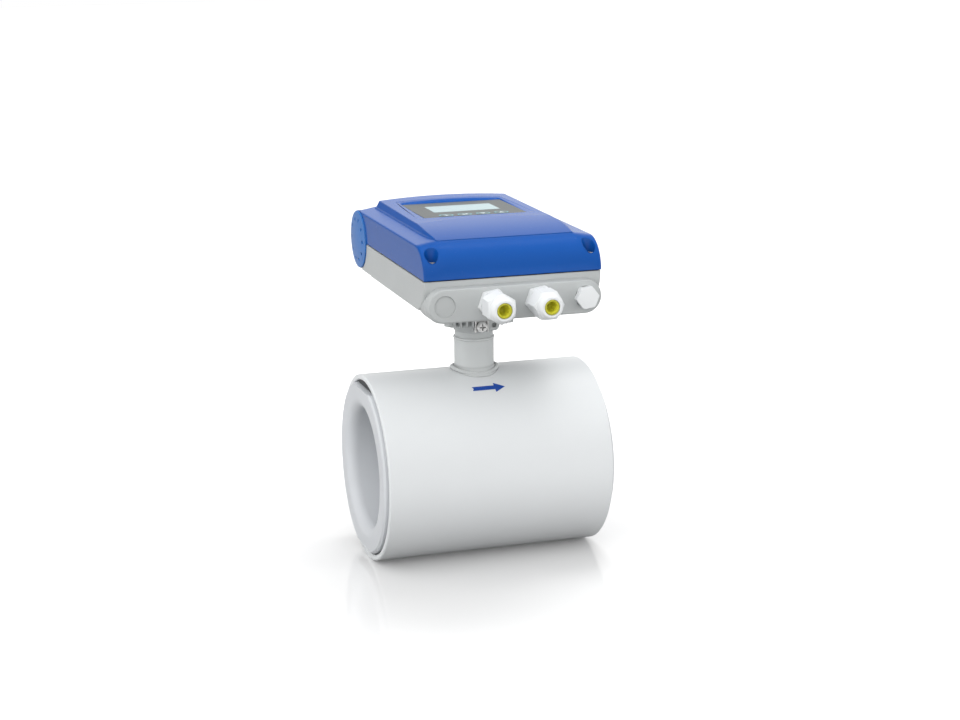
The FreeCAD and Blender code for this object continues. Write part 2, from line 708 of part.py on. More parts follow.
def adapter_gasket():
    half = ADAPTER_FLANGE_HALF
    sheet = box(-half, half, -half, half, ADAPTER_TOP_Z, HOUSING_BOTTOM_Z)
    sheet = rounded(sheet, ADAPTER_FLANGE_R, is_upright)
    tools = [rod(NECK_R - NECK_WALL, V(0, 0, ADAPTER_TOP_Z - 1), V(0, 0, FLOOR_Z))]
    for x, y in ear_places():
        tools.append(rod(SCREW_SHANK_R, V(x, y, ADAPTER_TOP_Z - 1), V(x, y, FLOOR_Z)))
    return without(sheet, tools)


# Earth terminal
def earth_clamp():
    """Square cup plate that bites on the earth wire, turned up at both sides."""
    half = EARTH_PAD_HALF - 0.6
    y1 = EARTH_PAD_Y
    y0 = y1 - EARTH_CLAMP_T
    sheet = box(EARTH_X - half, EARTH_X + half, y0, y1, EARTH_Z - half + 1.5, EARTH_Z + half)
    lips = [box(EARTH_X - half, EARTH_X - half + 1.2, y0 - 1.6, y1, EARTH_Z - half + 1.5, EARTH_Z + half),
            box(EARTH_X + half - 1.2, EARTH_X + half, y0 - 1.6, y1, EARTH_Z - half + 1.5, EARTH_Z + half)]
    hole = rod(EARTH_SHANK_R + NUT_RUN_GAP, V(EARTH_X, y0 - 3, EARTH_Z), V(EARTH_X, y1 + 1, EARTH_Z))
    return union([sheet] + lips).cut(hole)


def earth_washer():
    y1 = EARTH_PAD_Y - EARTH_CLAMP_T
    start = V(EARTH_X, y1, EARTH_Z)
    end = V(EARTH_X, y1 - EARTH_WASHER_T, EARTH_Z)
    radius = min(EARTH_WASHER_R, EARTH_PAD_HALF - 2.0)
    return pipe(radius, EARTH_SHANK_R + NUT_RUN_GAP, start, end)


def earth_screw():
    """Pan head screw with a cross recess."""
    seat = EARTH_PAD_Y - EARTH_CLAMP_T - EARTH_WASHER_T - 0.05
    y_head = seat - EARTH_HEAD_H
    head = rod(EARTH_HEAD_R, V(EARTH_X, seat, EARTH_Z), V(EARTH_X, y_head, EARTH_Z))
    head = rounded(head, EARTH_HEAD_H * 0.55, lambda e: lies_at(e, "y", y_head))
    shank_end = EARTH_PAD_Y - EARTH_CLAMP_T + EARTH_SHANK_L - 1
    shank = rod(EARTH_SHANK_R, V(EARTH_X, seat, EARTH_Z), V(EARTH_X, shank_end, EARTH_Z))
    screw = head.fuse(shank).removeSplitter()
    arm = EARTH_HEAD_R * 0.6
    for wide, tall in ((arm, 0.55), (0.55, arm)):
        screw = screw.cut(box(EARTH_X - wide, EARTH_X + wide, y_head - 1, y_head + EARTH_HEAD_H * 0.55,
                              EARTH_Z - tall, EARTH_Z + tall))
    return screw


# Housing base
def base_housing():
    """Lower half of the converter: tray-shaped casting with entry boss and hinge barrel."""
    hx = HOUSING_HALF_X
    tail_y = HINGE_Y - SIDE_TAIL
    face = nose_face(-hx, tail_y, HOUSING_SPLIT_Z, HOUSING_BOTTOM_Z, HOUSING_FRONT_Y, HOUSING_NOSE_R)
    envelope = face.extrude(V(2 * hx, 0, 0))
    envelope = rounded(envelope, HOUSING_CORNER_R, lambda e: (lies_at(e, "x", hx) or lies_at(e, "x", -hx))
                       and not lies_at(e, "z", HOUSING_SPLIT_Z) and not lies_at(e, "y", tail_y))
    step = box(-hx, hx, HOUSING_STEP_Y, tail_y, HOUSING_BOTTOM_Z, HOUSING_BOTTOM_Z + HOUSING_STEP)
    block = envelope.cut(step)
    inner_x = KNUCKLE_X - KNUCKLE_GAP
    swing = [rod(HINGE_R + HINGE_RUN, V(s * inner_x, HINGE_Y, HINGE_Z), V(s * (hx + 1), HINGE_Y, HINGE_Z))
             for s in (-1, 1)]
    barrel = rod(HINGE_R, V(-inner_x, HINGE_Y, HINGE_Z), V(inner_x, HINGE_Y, HINGE_Z))
    half = ENTRY_X[-1]
    draft = Part.makeLoft([stadium(half, BOSS_R + BOSS_DRAFT, HOUSING_FRONT_Y, None),
                           stadium(half, BOSS_R, BOSS_FRONT_Y, None)], True, True)
    draft = broken(draft, BOSS_EDGE, lambda e: lies_at(e, "y", BOSS_FRONT_Y))
    trough = stadium(half, BOSS_R + BOSS_DRAFT, HOUSING_FRONT_Y, V(0, BOSS_DEPTH - BOSS_STAND, 0))
    body = union([without(block, swing), barrel, draft, trough])
    room = nose_face(-INNER_HALF_X, CAVITY_REAR_Y, HOUSING_SPLIT_Z + 1, FLOOR_Z, INNER_FRONT_Y,
                     HOUSING_NOSE_R - HOUSING_WALL).extrude(V(2 * INNER_HALF_X, 0, 0))
    room = rounded(room, HOUSING_CORNER_R, lambda e: is_upright(e) and lies_at(e, "y", CAVITY_REAR_Y))
    pit_y = BOSS_FRONT_Y + BOSS_WALL
    pit = stadium(half, BOSS_R + BOSS_DRAFT - BOSS_WALL, pit_y,
                  V(0, BOSS_DEPTH - 2 * BOSS_WALL, 0))
    posts = [rod(SCREW_POST_R, V(s * SCREW_X, SCREW_Y, ENTRY_Z - BOSS_R / 2),
                 V(s * SCREW_X, SCREW_Y, HOUSING_SPLIT_Z)) for s in (-1, 1)]
    posts = [p.common(envelope) for p in posts]
    feet = [rod(TRAY_POST_R, V(x, y, HOUSING_BOTTOM_Z + 1), V(x, y, TRAY_Z)) for x, y in tray_screw_places()]
    body = union([without(body, [room, pit])] + posts + feet)
    core_x = BARREL_CORE_HALF_X
    core = rod(BARREL_CORE_R, V(-core_x, HINGE_Y, HINGE_Z), V(core_x, HINGE_Y, HINGE_Z))
    slot = box(-core_x, core_x, HINGE_Y - BARREL_SLOT_HALF, HINGE_Y + BARREL_SLOT_HALF,
               HOUSING_BOTTOM_Z, HINGE_Z)
    tools = [core, slot]
    for side in (-1, 1):
        tools.append(rod(PIN_R + PIN_RUN, V(side * (PIN_IN_X - 0.5), HINGE_Y, HINGE_Z),
                         V(side * KNUCKLE_X, HINGE_Y, HINGE_Z)))
        tools.append(rod(SCREW_SHANK_R + SCREW_RUN, V(side * SCREW_X, SCREW_Y, SPLIT_UP_Z - SCREW_REACH - 1),
                         V(side * SCREW_X, SCREW_Y, SPLIT_UP_Z)))
    for x in ENTRY_X[1:]:
        mouth = V(x, BOSS_FRONT_Y - 1, ENTRY_Z)
        tools.append(rod(ENTRY_R, mouth, V(x, BOSS_FRONT_Y + SPIGOT_L + NUT_GAP, ENTRY_Z)))
        seal_r = ENTRY_R - THREAD_GAP + SEAL_RING_W
        tools.append(rod(seal_r, mouth, V(x, BOSS_FRONT_Y + SEAL_RING_T, ENTRY_Z)))
    tools.append(rod(KNOCKOUT_R, V(ENTRY_X[0], BOSS_FRONT_Y - 1, ENTRY_Z),
                     V(ENTRY_X[0], BOSS_FRONT_Y + KNOCKOUT_SINK, ENTRY_Z)))
    tools.append(rod(NECK_R - NECK_WALL, V(0, 0, HOUSING_BOTTOM_Z - 1), V(0, 0, FLOOR_Z + 1)))
    for x, y in ear_places():
        tools.append(rod(SCREW_SHANK_R, V(x, y, HOUSING_BOTTOM_Z - 1), V(x, y, FLOOR_Z + 1)))
    for x, y in tray_screw_places():
        tools.append(rod(SMALL_SCREW_R, V(x, y, TRAY_Z - TRAY_STANDOFF - 1), V(x, y, TRAY_Z + 1)))
    return without(body, tools)


def cover_seal():
    """Flat cord seal lying on the rim of the base."""
    out = COVER_SEAL_INSET
    inn = COVER_SEAL_INSET + COVER_SEAL_W
    top = HOUSING_SPLIT_Z + COVER_SEAL_T
    hx = HOUSING_HALF_X
    outer = box(-hx + out, hx - out, HOUSING_FRONT_Y + out, WALL_REAR_Y - out, HOUSING_SPLIT_Z, top)
    inner = box(-hx + inn, hx - inn, HOUSING_FRONT_Y + inn, WALL_REAR_Y - inn, HOUSING_SPLIT_Z - 1, top + 1)
    ring = rounded(outer, HOUSING_CORNER_R, is_upright).cut(rounded(inner, HOUSING_CORNER_R / 2, is_upright))
    for side in (-1, 1):
        hole = rod(SCREW_SHANK_R + SCREW_RUN, V(side * SCREW_X, SCREW_Y, HOUSING_SPLIT_Z - 1),
                   V(side * SCREW_X, SCREW_Y, top + 1))
        ring = ring.cut(hole)
    return ring


# Cover
def nose_face(x, rear_y, low_z, top_z, front_y, radius):
    """Side outline with a rounded front corner at its second height, above or below the first."""
    bend = radius * (1 - math.sqrt(0.5))
    up = math.copysign(1, top_z - low_z)
    a = V(x, rear_y, low_z)
    b = V(x, rear_y, top_z)
    c = V(x, front_y + radius, top_z)
    d = V(x, front_y, top_z - up * radius)
    e = V(x, front_y, low_z)
    edges = [
        Part.LineSegment(a, b).toShape(),
        Part.LineSegment(b, c).toShape(),
        Part.Arc(c, V(x, front_y + bend, top_z - up * bend), d).toShape(),
        Part.LineSegment(d, e).toShape(),
        Part.LineSegment(e, a).toShape(),
    ]
    return Part.Face(Part.Wire(edges))


def cover_shoulder():
    """Left part of the cover, whose top rises gently toward the middle."""
    width = HOUSING_HALF_X - CROWN_TOP_X
    low_z = SPLIT_UP_Z - SHOULDER_RISE - 1
    face = nose_face(-HOUSING_HALF_X, HINGE_Y, low_z, SHOULDER_Z, COVER_FRONT_Y, NOSE_R)
    return face.extrude(V(width, 0, SHOULDER_RISE))


def facet_half(offset, top_z):
    """Left half of the crown inside its leaning side facet, which turns in at the front."""
    foot_x = -CROWN_FOOT_X - offset
    inward = CROWN_FOOT_X + offset - CROWN_TOP_X - offset / 2
    reach = FACET_TURN_Y - FACET_TIP_Y
    radius = (reach ** 2 + inward ** 2) / (2 * inward)
    turn = lambda y: foot_x + radius - math.sqrt(radius ** 2 - (FACET_TURN_Y - y) ** 2)
    rear_y = HINGE_Y - CROWN_REAR
    low_z = SHOULDER_Z
    lean = CROWN_LEAN / (CROWN_SIDE_H - CROWN_FOOT_H)
    down = V((low_z - CROWN_FOOT_Z) * lean, 0, low_z)
    a = V(foot_x, rear_y, 0) + down
    b = V(foot_x, FACET_TURN_Y, 0) + down
    c = V(turn(FACET_TIP_Y), FACET_TIP_Y, 0) + down
    d = V(turn(FACET_END_Y), FACET_END_Y, 0) + down
    e = V(0, FACET_END_Y, low_z)
    f = V(0, rear_y, low_z)
    edges = [
        Part.LineSegment(a, b).toShape(),
        Part.Arc(b, c, d).toShape(),
        Part.LineSegment(d, e).toShape(),
        Part.LineSegment(e, f).toShape(),
        Part.LineSegment(f, a).toShape(),
    ]
    rise = top_z - low_z
    slab = Part.Face(Part.Wire(edges)).extrude(V(rise * lean, 0, rise))
    return slab.common(box(-HOUSING_HALF_X, 0, FACET_END_Y - 1, rear_y + 1, low_z - 1, top_z + 1))


def roof_wire(y, side_z, mid_z, low_z):
    """Cross section of the arched roof at one place along the cover."""
    x = HOUSING_HALF_X
    drop = (mid_z - side_z) * (x / CROWN_TOP_X) ** 2
    left = V(-x, y, mid_z - drop)
    right = V(x, y, mid_z - drop)
    edges = [
        Part.LineSegment(V(-x, y, low_z), left).toShape(),
        Part.Arc(left, V(0, y, mid_z), right).toShape(),
        Part.LineSegment(right, V(x, y, low_z)).toShape(),
        Part.LineSegment(V(x, y, low_z), V(-x, y, low_z)).toShape(),
    ]
    return Part.Wire(edges)


def crown_side(x, rear_y, low_z):
    """Side outline of the crown: flat roof, long brow and the same nose as the shoulders."""
    top_z = CROWN_MID_Z + 1
    brow_z = BROW_MID_Z - BROW_R
    away = math.atan2(BROW_Y - NOSE_Y, NOSE_Z - brow_z)
    on_brow = lambda angle: V(x, BROW_Y - BROW_R * math.sin(angle), brow_z + BROW_R * math.cos(angle))
    on_nose = lambda angle: V(x, NOSE_Y - NOSE_R * math.sin(angle), NOSE_Z + NOSE_R * math.cos(angle))
    middle = (away + math.pi / 2) / 2
    edges = [
        Part.LineSegment(V(x, rear_y, low_z), V(x, rear_y, top_z)).toShape(),
        Part.LineSegment(V(x, rear_y, top_z), V(x, BROW_Y, top_z)).toShape(),
        Part.LineSegment(V(x, BROW_Y, top_z), on_brow(0)).toShape(),
        Part.Arc(on_brow(0), on_brow(away / 2), on_brow(away)).toShape(),
        Part.LineSegment(on_brow(away), on_nose(away)).toShape(),
        Part.Arc(on_nose(away), on_nose(middle), on_nose(math.pi / 2)).toShape(),
        Part.LineSegment(on_nose(math.pi / 2), V(x, COVER_FRONT_Y, low_z)).toShape(),
        Part.LineSegment(V(x, COVER_FRONT_Y, low_z), V(x, rear_y, low_z)).toShape(),
    ]
    return Part.Wire(edges)


def cover_crown():
    """Raised middle of the cover: arched across, with stepped side facets and a bent nose."""
    rear_y = HINGE_Y - CROWN_REAR
    low_z = HOUSING_BOTTOM_Z
    foot = facet_half(FACET_STEP, CROWN_FOOT_Z + FACET_STEP_H)
    facet = facet_half(0, CROWN_MID_Z + 2)
    body = union([box(-CROWN_TOP_X, CROWN_TOP_X, COVER_FRONT_Y, rear_y, low_z, SHOULDER_Z + SHOULDER_RISE),
                  foot, mirrored(foot), facet, mirrored(facet)])
    rear = roof_wire(rear_y, CROWN_SIDE_Z, CROWN_MID_Z, low_z)
    brow = roof_wire(BROW_Y, BROW_SIDE_Z, BROW_MID_Z, low_z)
    roof = Part.makeLoft([rear, brow], True, True)
    front = Part.Face(brow).extrude(V(0, COVER_FRONT_Y - 1 - BROW_Y, 0))
    side = Part.Face(crown_side(-HOUSING_HALF_X, rear_y, low_z)).extrude(V(2 * HOUSING_HALF_X, 0, 0))
    return body.common(roof.fuse(front)).common(side)


def cover_room():
    """Hollow inside the cover, one step low at the sides and one high in the middle."""
    low = nose_face(-INNER_HALF_X, CAVITY_REAR_Y, HOUSING_BOTTOM_Z, SHOULDER_Z - COVER_WALL,
                    COVER_FRONT_Y + COVER_WALL, NOSE_R - COVER_WALL).extrude(V(2 * INNER_HALF_X, 0, 0))
    high = nose_face(-COVER_INNER_HALF_X, CAVITY_REAR_Y, HOUSING_BOTTOM_Z, ROOF_INNER_Z,
                     ROOF_FRONT_Y, ROOF_NOSE_R)
    return low.fuse(high.extrude(V(2 * COVER_INNER_HALF_X, 0, 0)))


def recess_tool():
    """Block that opens the display recess upward, widest at its front."""
    x = PANEL_HALF_X + PANEL_FIT
    y0 = PANEL_FRONT_Y - PANEL_FIT
    y1 = PANEL_REAR_Y + PANEL_FIT
    low = [V(-x, y0, PANEL_Z), V(x, y0, PANEL_Z), V(x, y1, PANEL_Z), V(-x, y1, PANEL_Z)]
    wide = x + RECESS_WIDEN_FRONT
    narrow = x + RECESS_WIDEN_REAR
    front = y0 - RECESS_SPREAD_FRONT
    rear = y1 + RECESS_SPREAD_REAR
    z = PANEL_Z + RECESS_RISE
    high = [V(-wide, front, z), V(wide, front, z), V(narrow, rear, z), V(-narrow, rear, z)]
    wires = [Part.makePolygon(low + low[:1]), Part.makePolygon(high + high[:1])]
    return Part.makeLoft(wires, True, True)


def cover():
    """Moulded cover: shoulders, arched middle, hinge knuckles, recess and screw wells."""
    shoulder = cover_shoulder()
    body = union([shoulder, mirrored(shoulder), cover_crown()])
    below = box(-HOUSING_HALF_X - 1, HOUSING_HALF_X + 1, COVER_FRONT_Y - 1, HINGE_Y + 1,
                HOUSING_BOTTOM_Z - 40, SPLIT_UP_Z)
    body = body.cut(below)
    side_edges = lambda e: (lies_at(e, "x", HOUSING_HALF_X) or lies_at(e, "x", -HOUSING_HALF_X)) \
        and not lies_at(e, "z", SPLIT_UP_Z) and not lies_at(e, "y", HINGE_Y)
    body = rounded(body, COVER_EDGE, side_edges)
    knuckles = []
    for side in (-1, 1):
        knuckles.append(rod(HINGE_R, V(side * KNUCKLE_X, HINGE_Y, HINGE_Z),
                            V(side * HOUSING_HALF_X, HINGE_Y, HINGE_Z)))
    body = union([body] + knuckles)
    outer = body.copy()
    body = body.cut(cover_room())
    wells = []
    for side in (-1, 1):
        well = rod(SCREW_BORE_R + SCREW_WELL_WALL, V(side * SCREW_X, SCREW_Y, SPLIT_UP_Z),
                   V(side * SCREW_X, SCREW_Y, CROWN_MID_Z))
        wells.append(well.common(outer))
    body = union([body] + wells)
    tools = [recess_tool()]
    x = PANEL_HALF_X + PANEL_FIT
    tools.append(box(-x, x, PANEL_FRONT_Y - PANEL_FIT, PANEL_REAR_Y + PANEL_FIT, PANEL_UNDER_Z, PANEL_Z + 1))
    tools.append(box(-x + PANEL_LEDGE, x - PANEL_LEDGE, PANEL_FRONT_Y + PANEL_LEDGE,
                     CAVITY_REAR_Y, ROOF_INNER_Z - 1, PANEL_Z))
    tools.append(rod(HINGE_R + HINGE_RUN, V(-KNUCKLE_X, HINGE_Y, HINGE_Z), V(KNUCKLE_X, HINGE_Y, HINGE_Z)))
    for side in (-1, 1):
        seat = side * (HOUSING_HALF_X - CAP_SEAT)
        tools.append(rod(CAP_R + CAP_SEAT_GAP, V(seat, HINGE_Y, HINGE_Z),
                         V(side * (HOUSING_HALF_X + 1), HINGE_Y, HINGE_Z)))
        tools.append(rod(PIN_R, V(0, HINGE_Y, HINGE_Z), V(seat, HINGE_Y, HINGE_Z)))
        tools.append(rod(SCREW_BORE_R, V(side * SCREW_X, SCREW_Y, SCREW_SEAT_Z),
                         V(side * SCREW_X, SCREW_Y, CROWN_MID_Z)))
        tools.append(rod(SCREW_SHANK_R + NUT_RUN_GAP, V(side * SCREW_X, SCREW_Y, SPLIT_UP_Z - 1),
                         V(side * SCREW_X, SCREW_Y, SCREW_SEAT_Z + 1)))
    return without(body, tools)


def hinge_cap(side):
    """Round cap over the hinge pin: raised rim, shallow dome and a ring of dimples."""
    seat = HOUSING_HALF_X - CAP_SEAT
    rim = CAP_OUT_X
    dome = rim + CAP_DOME
    rim_r = CAP_R - 1.8
    sag = CAP_DOME
    ball_r = (rim_r ** 2 + sag ** 2) / (2 * sag)
    disc = rod(CAP_R, V(seat, HINGE_Y, HINGE_Z), V(rim, HINGE_Y, HINGE_Z))
    disc = rounded(disc, CAP_RIM * 0.7, lambda e: lies_at(e, "x", rim))
    ball = Part.makeSphere(ball_r, V(dome - ball_r, HINGE_Y, HINGE_Z))
    bulge = ball.common(rod(rim_r, V(seat + 0.5, HINGE_Y, HINGE_Z), V(dome + 1, HINGE_Y, HINGE_Z)))
    cap = disc.fuse(bulge).removeSplitter()
    for k in range(CAP_DIMPLES):
        a = 2 * math.pi * k / CAP_DIMPLES
        y = HINGE_Y + CAP_DIMPLE_AT * math.cos(a)
        z = HINGE_Z + CAP_DIMPLE_AT * math.sin(a)
        cap = cap.cut(rod(CAP_DIMPLE_R, V(rim - CAP_DIMPLE_DEPTH, y, z), V(dome + 1, y, z)))
    return mirrored(cap) if side < 0 else cap


def hinge_pin(side):
    start = V(side * PIN_IN_X, HINGE_Y, HINGE_Z)
    end = V(side * (HOUSING_HALF_X - CAP_SEAT), HINGE_Y, HINGE_Z)
    return rod(PIN_R, start, end)


def cover_screw(side):
    """Captive socket screw at the foot of its well."""
    x = side * SCREW_X
    seat = SCREW_SEAT_Z + 0.05
    top = seat + SCREW_HEAD_H
    head = rod(SCREW_HEAD_R, V(x, SCREW_Y, seat), V(x, SCREW_Y, top))
    head = broken(head, SCREW_EDGE, lambda e: lies_at(e, "z", top))
    shank = rod(SCREW_SHANK_R, V(x, SCREW_Y, SPLIT_UP_Z - SCREW_REACH), V(x, SCREW_Y, seat))
    corners = []
    for k in range(6):
        a = math.radians(60 * k)
        corners.append(V(x + SCREW_SOCKET_R * math.cos(a), SCREW_Y + SCREW_SOCKET_R * math.sin(a), top))
    socket = polygon(corners).extrude(V(0, 0, -SCREW_SOCKET_DEPTH))
    return head.fuse(shank).removeSplitter().cut(socket)


# Display panel and keys
def oval(x, length, width, z0, z1):
    """Oval key outline as an upright prism."""
    radius = width / 2
    half = length / 2 - radius
    a = V(x - half, KEY_Y - radius, z0)
    b = V(x + half, KEY_Y - radius, z0)
    c = V(x + half, KEY_Y + radius, z0)
    d = V(x - half, KEY_Y + radius, z0)
    edges = [
        Part.LineSegment(a, b).toShape(),
        Part.Arc(b, V(x + half + radius, KEY_Y, z0), c).toShape(),
        Part.LineSegment(c, d).toShape(),
        Part.Arc(d, V(x - half - radius, KEY_Y, z0), a).toShape(),
    ]
    return Part.Face(Part.Wire(edges)).extrude(V(0, 0, z1 - z0))


def display_panel():
    plate = box(-PANEL_HALF_X, PANEL_HALF_X, PANEL_FRONT_Y, PANEL_REAR_Y, PANEL_UNDER_Z, PANEL_Z)
    tools = [box(-LCD_HALF_X, LCD_HALF_X, LCD_FRONT_Y, LCD_REAR_Y, PANEL_UNDER_Z - 1, PANEL_Z + 1)]
    length = KEY_LENGTH + 2 * KEY_GAP
    width = KEY_WIDTH + 2 * KEY_GAP
    for x in KEY_X:
        tools.append(oval(x, length, width, PANEL_UNDER_Z - 1, PANEL_Z + 1))
    return without(plate, tools)


def lcd_window():
    return box(-LCD_HALF_X, LCD_HALF_X, LCD_FRONT_Y, LCD_REAR_Y, PANEL_UNDER_Z, PANEL_Z)


def key(x):
    cap = oval(x, KEY_LENGTH, KEY_WIDTH, KEY_TOP_Z - KEY_CAP_T, KEY_TOP_Z)
    cap = broken(cap, KEY_EDGE, lambda e: lies_at(e, "z", KEY_TOP_Z))
    stem = oval(x, KEY_STEM_L, KEY_STEM_W, KEY_FOOT_Z, KEY_TOP_Z - KEY_CAP_T)
    return cap.fuse(stem).removeSplitter()


# Electronics
def tray_screw_places():
    x = TRAY_HALF_X - TRAY_SCREW_INSET
    rows = (TRAY_FRONT_Y + TRAY_SCREW_INSET, TRAY_REAR_Y - TRAY_SCREW_INSET)
    return [(s * x, y) for s in (-1, 1) for y in rows]


def electronics_tray():
    """Moulded tray with a low frame that carries the main board."""
    top = TRAY_Z + TRAY_T
    plate = box(-TRAY_HALF_X, TRAY_HALF_X, TRAY_FRONT_Y, TRAY_REAR_Y, TRAY_Z, top)
    plate = rounded(plate, 3.0, is_upright)
    half = BOARD_HALF_X - 2 * TRAY_WALL
    inner = half - TRAY_WALL
    frame = box(-half, half, BOARD_FRONT_Y, BOARD_REAR_Y, top, BOARD_Z)
    hollow = box(-inner, inner, BOARD_FRONT_Y + TRAY_WALL, BOARD_REAR_Y - TRAY_WALL, top, BOARD_Z)
    tray = plate.fuse(frame.cut(hollow)).removeSplitter()
    tools = [rod(NECK_R - NECK_WALL - 2, V(0, 0, TRAY_Z - 1), V(0, 0, top + 1))]
    for x, y in tray_screw_places():
        tools.append(rod(SMALL_SCREW_R, V(x, y, TRAY_Z - 1), V(x, y, top + 1)))
    return without(tray, tools)


def tray_screws():
    solids = []
    seat = TRAY_Z + TRAY_T
    for x, y in tray_screw_places():
        head = rod(SMALL_SCREW_HEAD_R, V(x, y, seat), V(x, y, seat + SMALL_SCREW_HEAD_H))
        head = head.cut(box(x - SMALL_SCREW_HEAD_R, x + SMALL_SCREW_HEAD_R, y - 0.5, y + 0.5,
                            seat + SMALL_SCREW_HEAD_H / 2, seat + SMALL_SCREW_HEAD_H))
        shank = rod(SMALL_SCREW_R, V(x, y, TRAY_Z - TRAY_STANDOFF), V(x, y, seat))
        solids.append(head.fuse(shank).removeSplitter())
    return Part.Compound(solids)


def main_board():
    return box(-BOARD_HALF_X, BOARD_HALF_X, BOARD_FRONT_Y, BOARD_REAR_Y, BOARD_Z, BOARD_TOP_Z)


def lead_connector():
    """Socket block over the tray's port, where the sensor wires end."""
    top = TRAY_Z + TRAY_T
    reach = NECK_R - NECK_WALL
    return box(-reach, reach, -reach, reach, top, BOARD_Z)


def block_at(x, half_x, half_y, low, high):
    """Box on the main board beside the transformer's centre line."""
    return box(x - half_x, x + half_x, TRANSFORMER_Y - half_y, TRANSFORMER_Y + half_y,
               BOARD_TOP_Z + low, BOARD_TOP_Z + high)


def transformer():
    """Mains transformer: a framed core with a wound bobbin on its middle leg."""
    half = TRANSFORMER_HALF
    leg = TRANSFORMER_LEG
    top = TRANSFORMER_H
    core = block_at(TRANSFORMER_X, half, half - 2 * leg, leg, top)
    window = block_at(TRANSFORMER_X, half - leg, half, 2 * leg, top - leg)
    base = block_at(TRANSFORMER_X, half - leg, half - leg, 0, leg)
    winding = block_at(TRANSFORMER_X, half - leg, half - leg, leg, top - leg)
    return union([core.cut(window), base, winding])


def capacitors():
    solids = []
    for place in CAPACITORS:
        x, y, r, h = [BOARD_GRID * value for value in place]
        can = rod(r, V(x, y, BOARD_TOP_Z), V(x, y, BOARD_TOP_Z + h))
        solids.append(broken(can, CAN_EDGE, lambda e: lies_at(e, "z", BOARD_TOP_Z + h)))
    return Part.Compound(solids)


def board_chips():
    solids = []
    for place in CHIPS:
        x, y, dx, dy = [BOARD_GRID * value for value in place]
        solids.append(box(x - dx, x + dx, y - dy, y + dy, BOARD_TOP_Z, BOARD_TOP_Z + CHIP_T))
    return Part.Compound(solids)


def terminal_x():
    return [(k - (TERMINAL_POLES - 1) / 2) * TERMINAL_PITCH for k in range(TERMINAL_POLES)]


def terminal_block():
    """Row of wire clamps, each with a wire mouth in front and a screw well on top."""
    half = TERMINAL_POLES * TERMINAL_PITCH / 2
    z0 = TRAY_Z + TRAY_T
    y0 = TERMINAL_Y - TERMINAL_D / 2
    y1 = TERMINAL_Y + TERMINAL_D / 2
    block = box(-half, half, y0, y1, z0, z0 + TERMINAL_H)
    top = z0 + TERMINAL_H
    block = block.cut(box(-half, half, y0, y0 + TERMINAL_STEP, top - TERMINAL_STEP, top))
    tools = []
    for x in terminal_x():
        tools.append(box(x - TERMINAL_MOUTH, x + TERMINAL_MOUTH, y0 - 1, y0 + TERMINAL_MOUTH_D,
                         z0 + TERMINAL_MOUTH, z0 + 3 * TERMINAL_MOUTH))
        tools.append(rod(TERMINAL_SCREW_R + THREAD_GAP, V(x, TERMINAL_Y, top - TERMINAL_WELL),
                         V(x, TERMINAL_Y, top + 1)))
    return without(block, tools)


def terminal_screws():
    solids = []
    foot = TRAY_Z + TRAY_T + TERMINAL_H - TERMINAL_WELL
    top = foot + TERMINAL_WELL / 2
    for x in terminal_x():
        head = rod(TERMINAL_SCREW_R, V(x, TERMINAL_Y, foot), V(x, TERMINAL_Y, top))
        slot = box(x - TERMINAL_SCREW_R, x + TERMINAL_SCREW_R, TERMINAL_Y - TERMINAL_SLOT,
                   TERMINAL_Y + TERMINAL_SLOT, top - 2 * TERMINAL_SLOT, top)
        solids.append(head.cut(slot))
    return Part.Compound(solids)


def display_post_places():
    x = LCD_BOARD_HALF_X - DISPLAY_POST_INSET
    rows = (LCD_BOARD_FRONT_Y + DISPLAY_POST_INSET, BOARD_REAR_Y - DISPLAY_POST_INSET)
    return [(s * x, y) for s in (-1, 1) for y in rows]


def display_posts():
    return Part.Compound([rod(DISPLAY_POST_R, V(x, y, BOARD_TOP_Z), V(x, y, LCD_BOARD_Z))
                          for x, y in display_post_places()])


def display_board():
    return box(-LCD_BOARD_HALF_X, LCD_BOARD_HALF_X, LCD_BOARD_FRONT_Y, LCD_BOARD_REAR_Y,
               LCD_BOARD_Z, LCD_BOARD_TOP_Z)


def lcd_module():
    b = LCD_BODY_BORDER
    return box(-LCD_HALF_X - b, LCD_HALF_X + b, LCD_FRONT_Y - b, LCD_REAR_Y + b / 2,
               LCD_BOARD_TOP_Z, LCD_TOP_Z)


def key_switches():
    solids = []
    for x in KEY_X:
        body = box(x - SWITCH_HALF, x + SWITCH_HALF, KEY_Y - SWITCH_HALF, KEY_Y + SWITCH_HALF,
                   LCD_BOARD_TOP_Z, LCD_BOARD_TOP_Z + SWITCH_BODY_H)
        button = rod(SWITCH_BUTTON_R, V(x, KEY_Y, LCD_BOARD_TOP_Z), V(x, KEY_Y, SWITCH_TOP_Z))
        solids.append(body.fuse(button).removeSplitter())
    return Part.Compound(solids)


# Cable glands
def entry_spigot(x):
    """Threaded end that screws into an entry, as a plain cylinder."""
    radius = ENTRY_R - THREAD_GAP
    return spun_on_entry([(-SPIGOT_L, 0), (-SPIGOT_L, radius), (1, radius), (1, 0)], x)


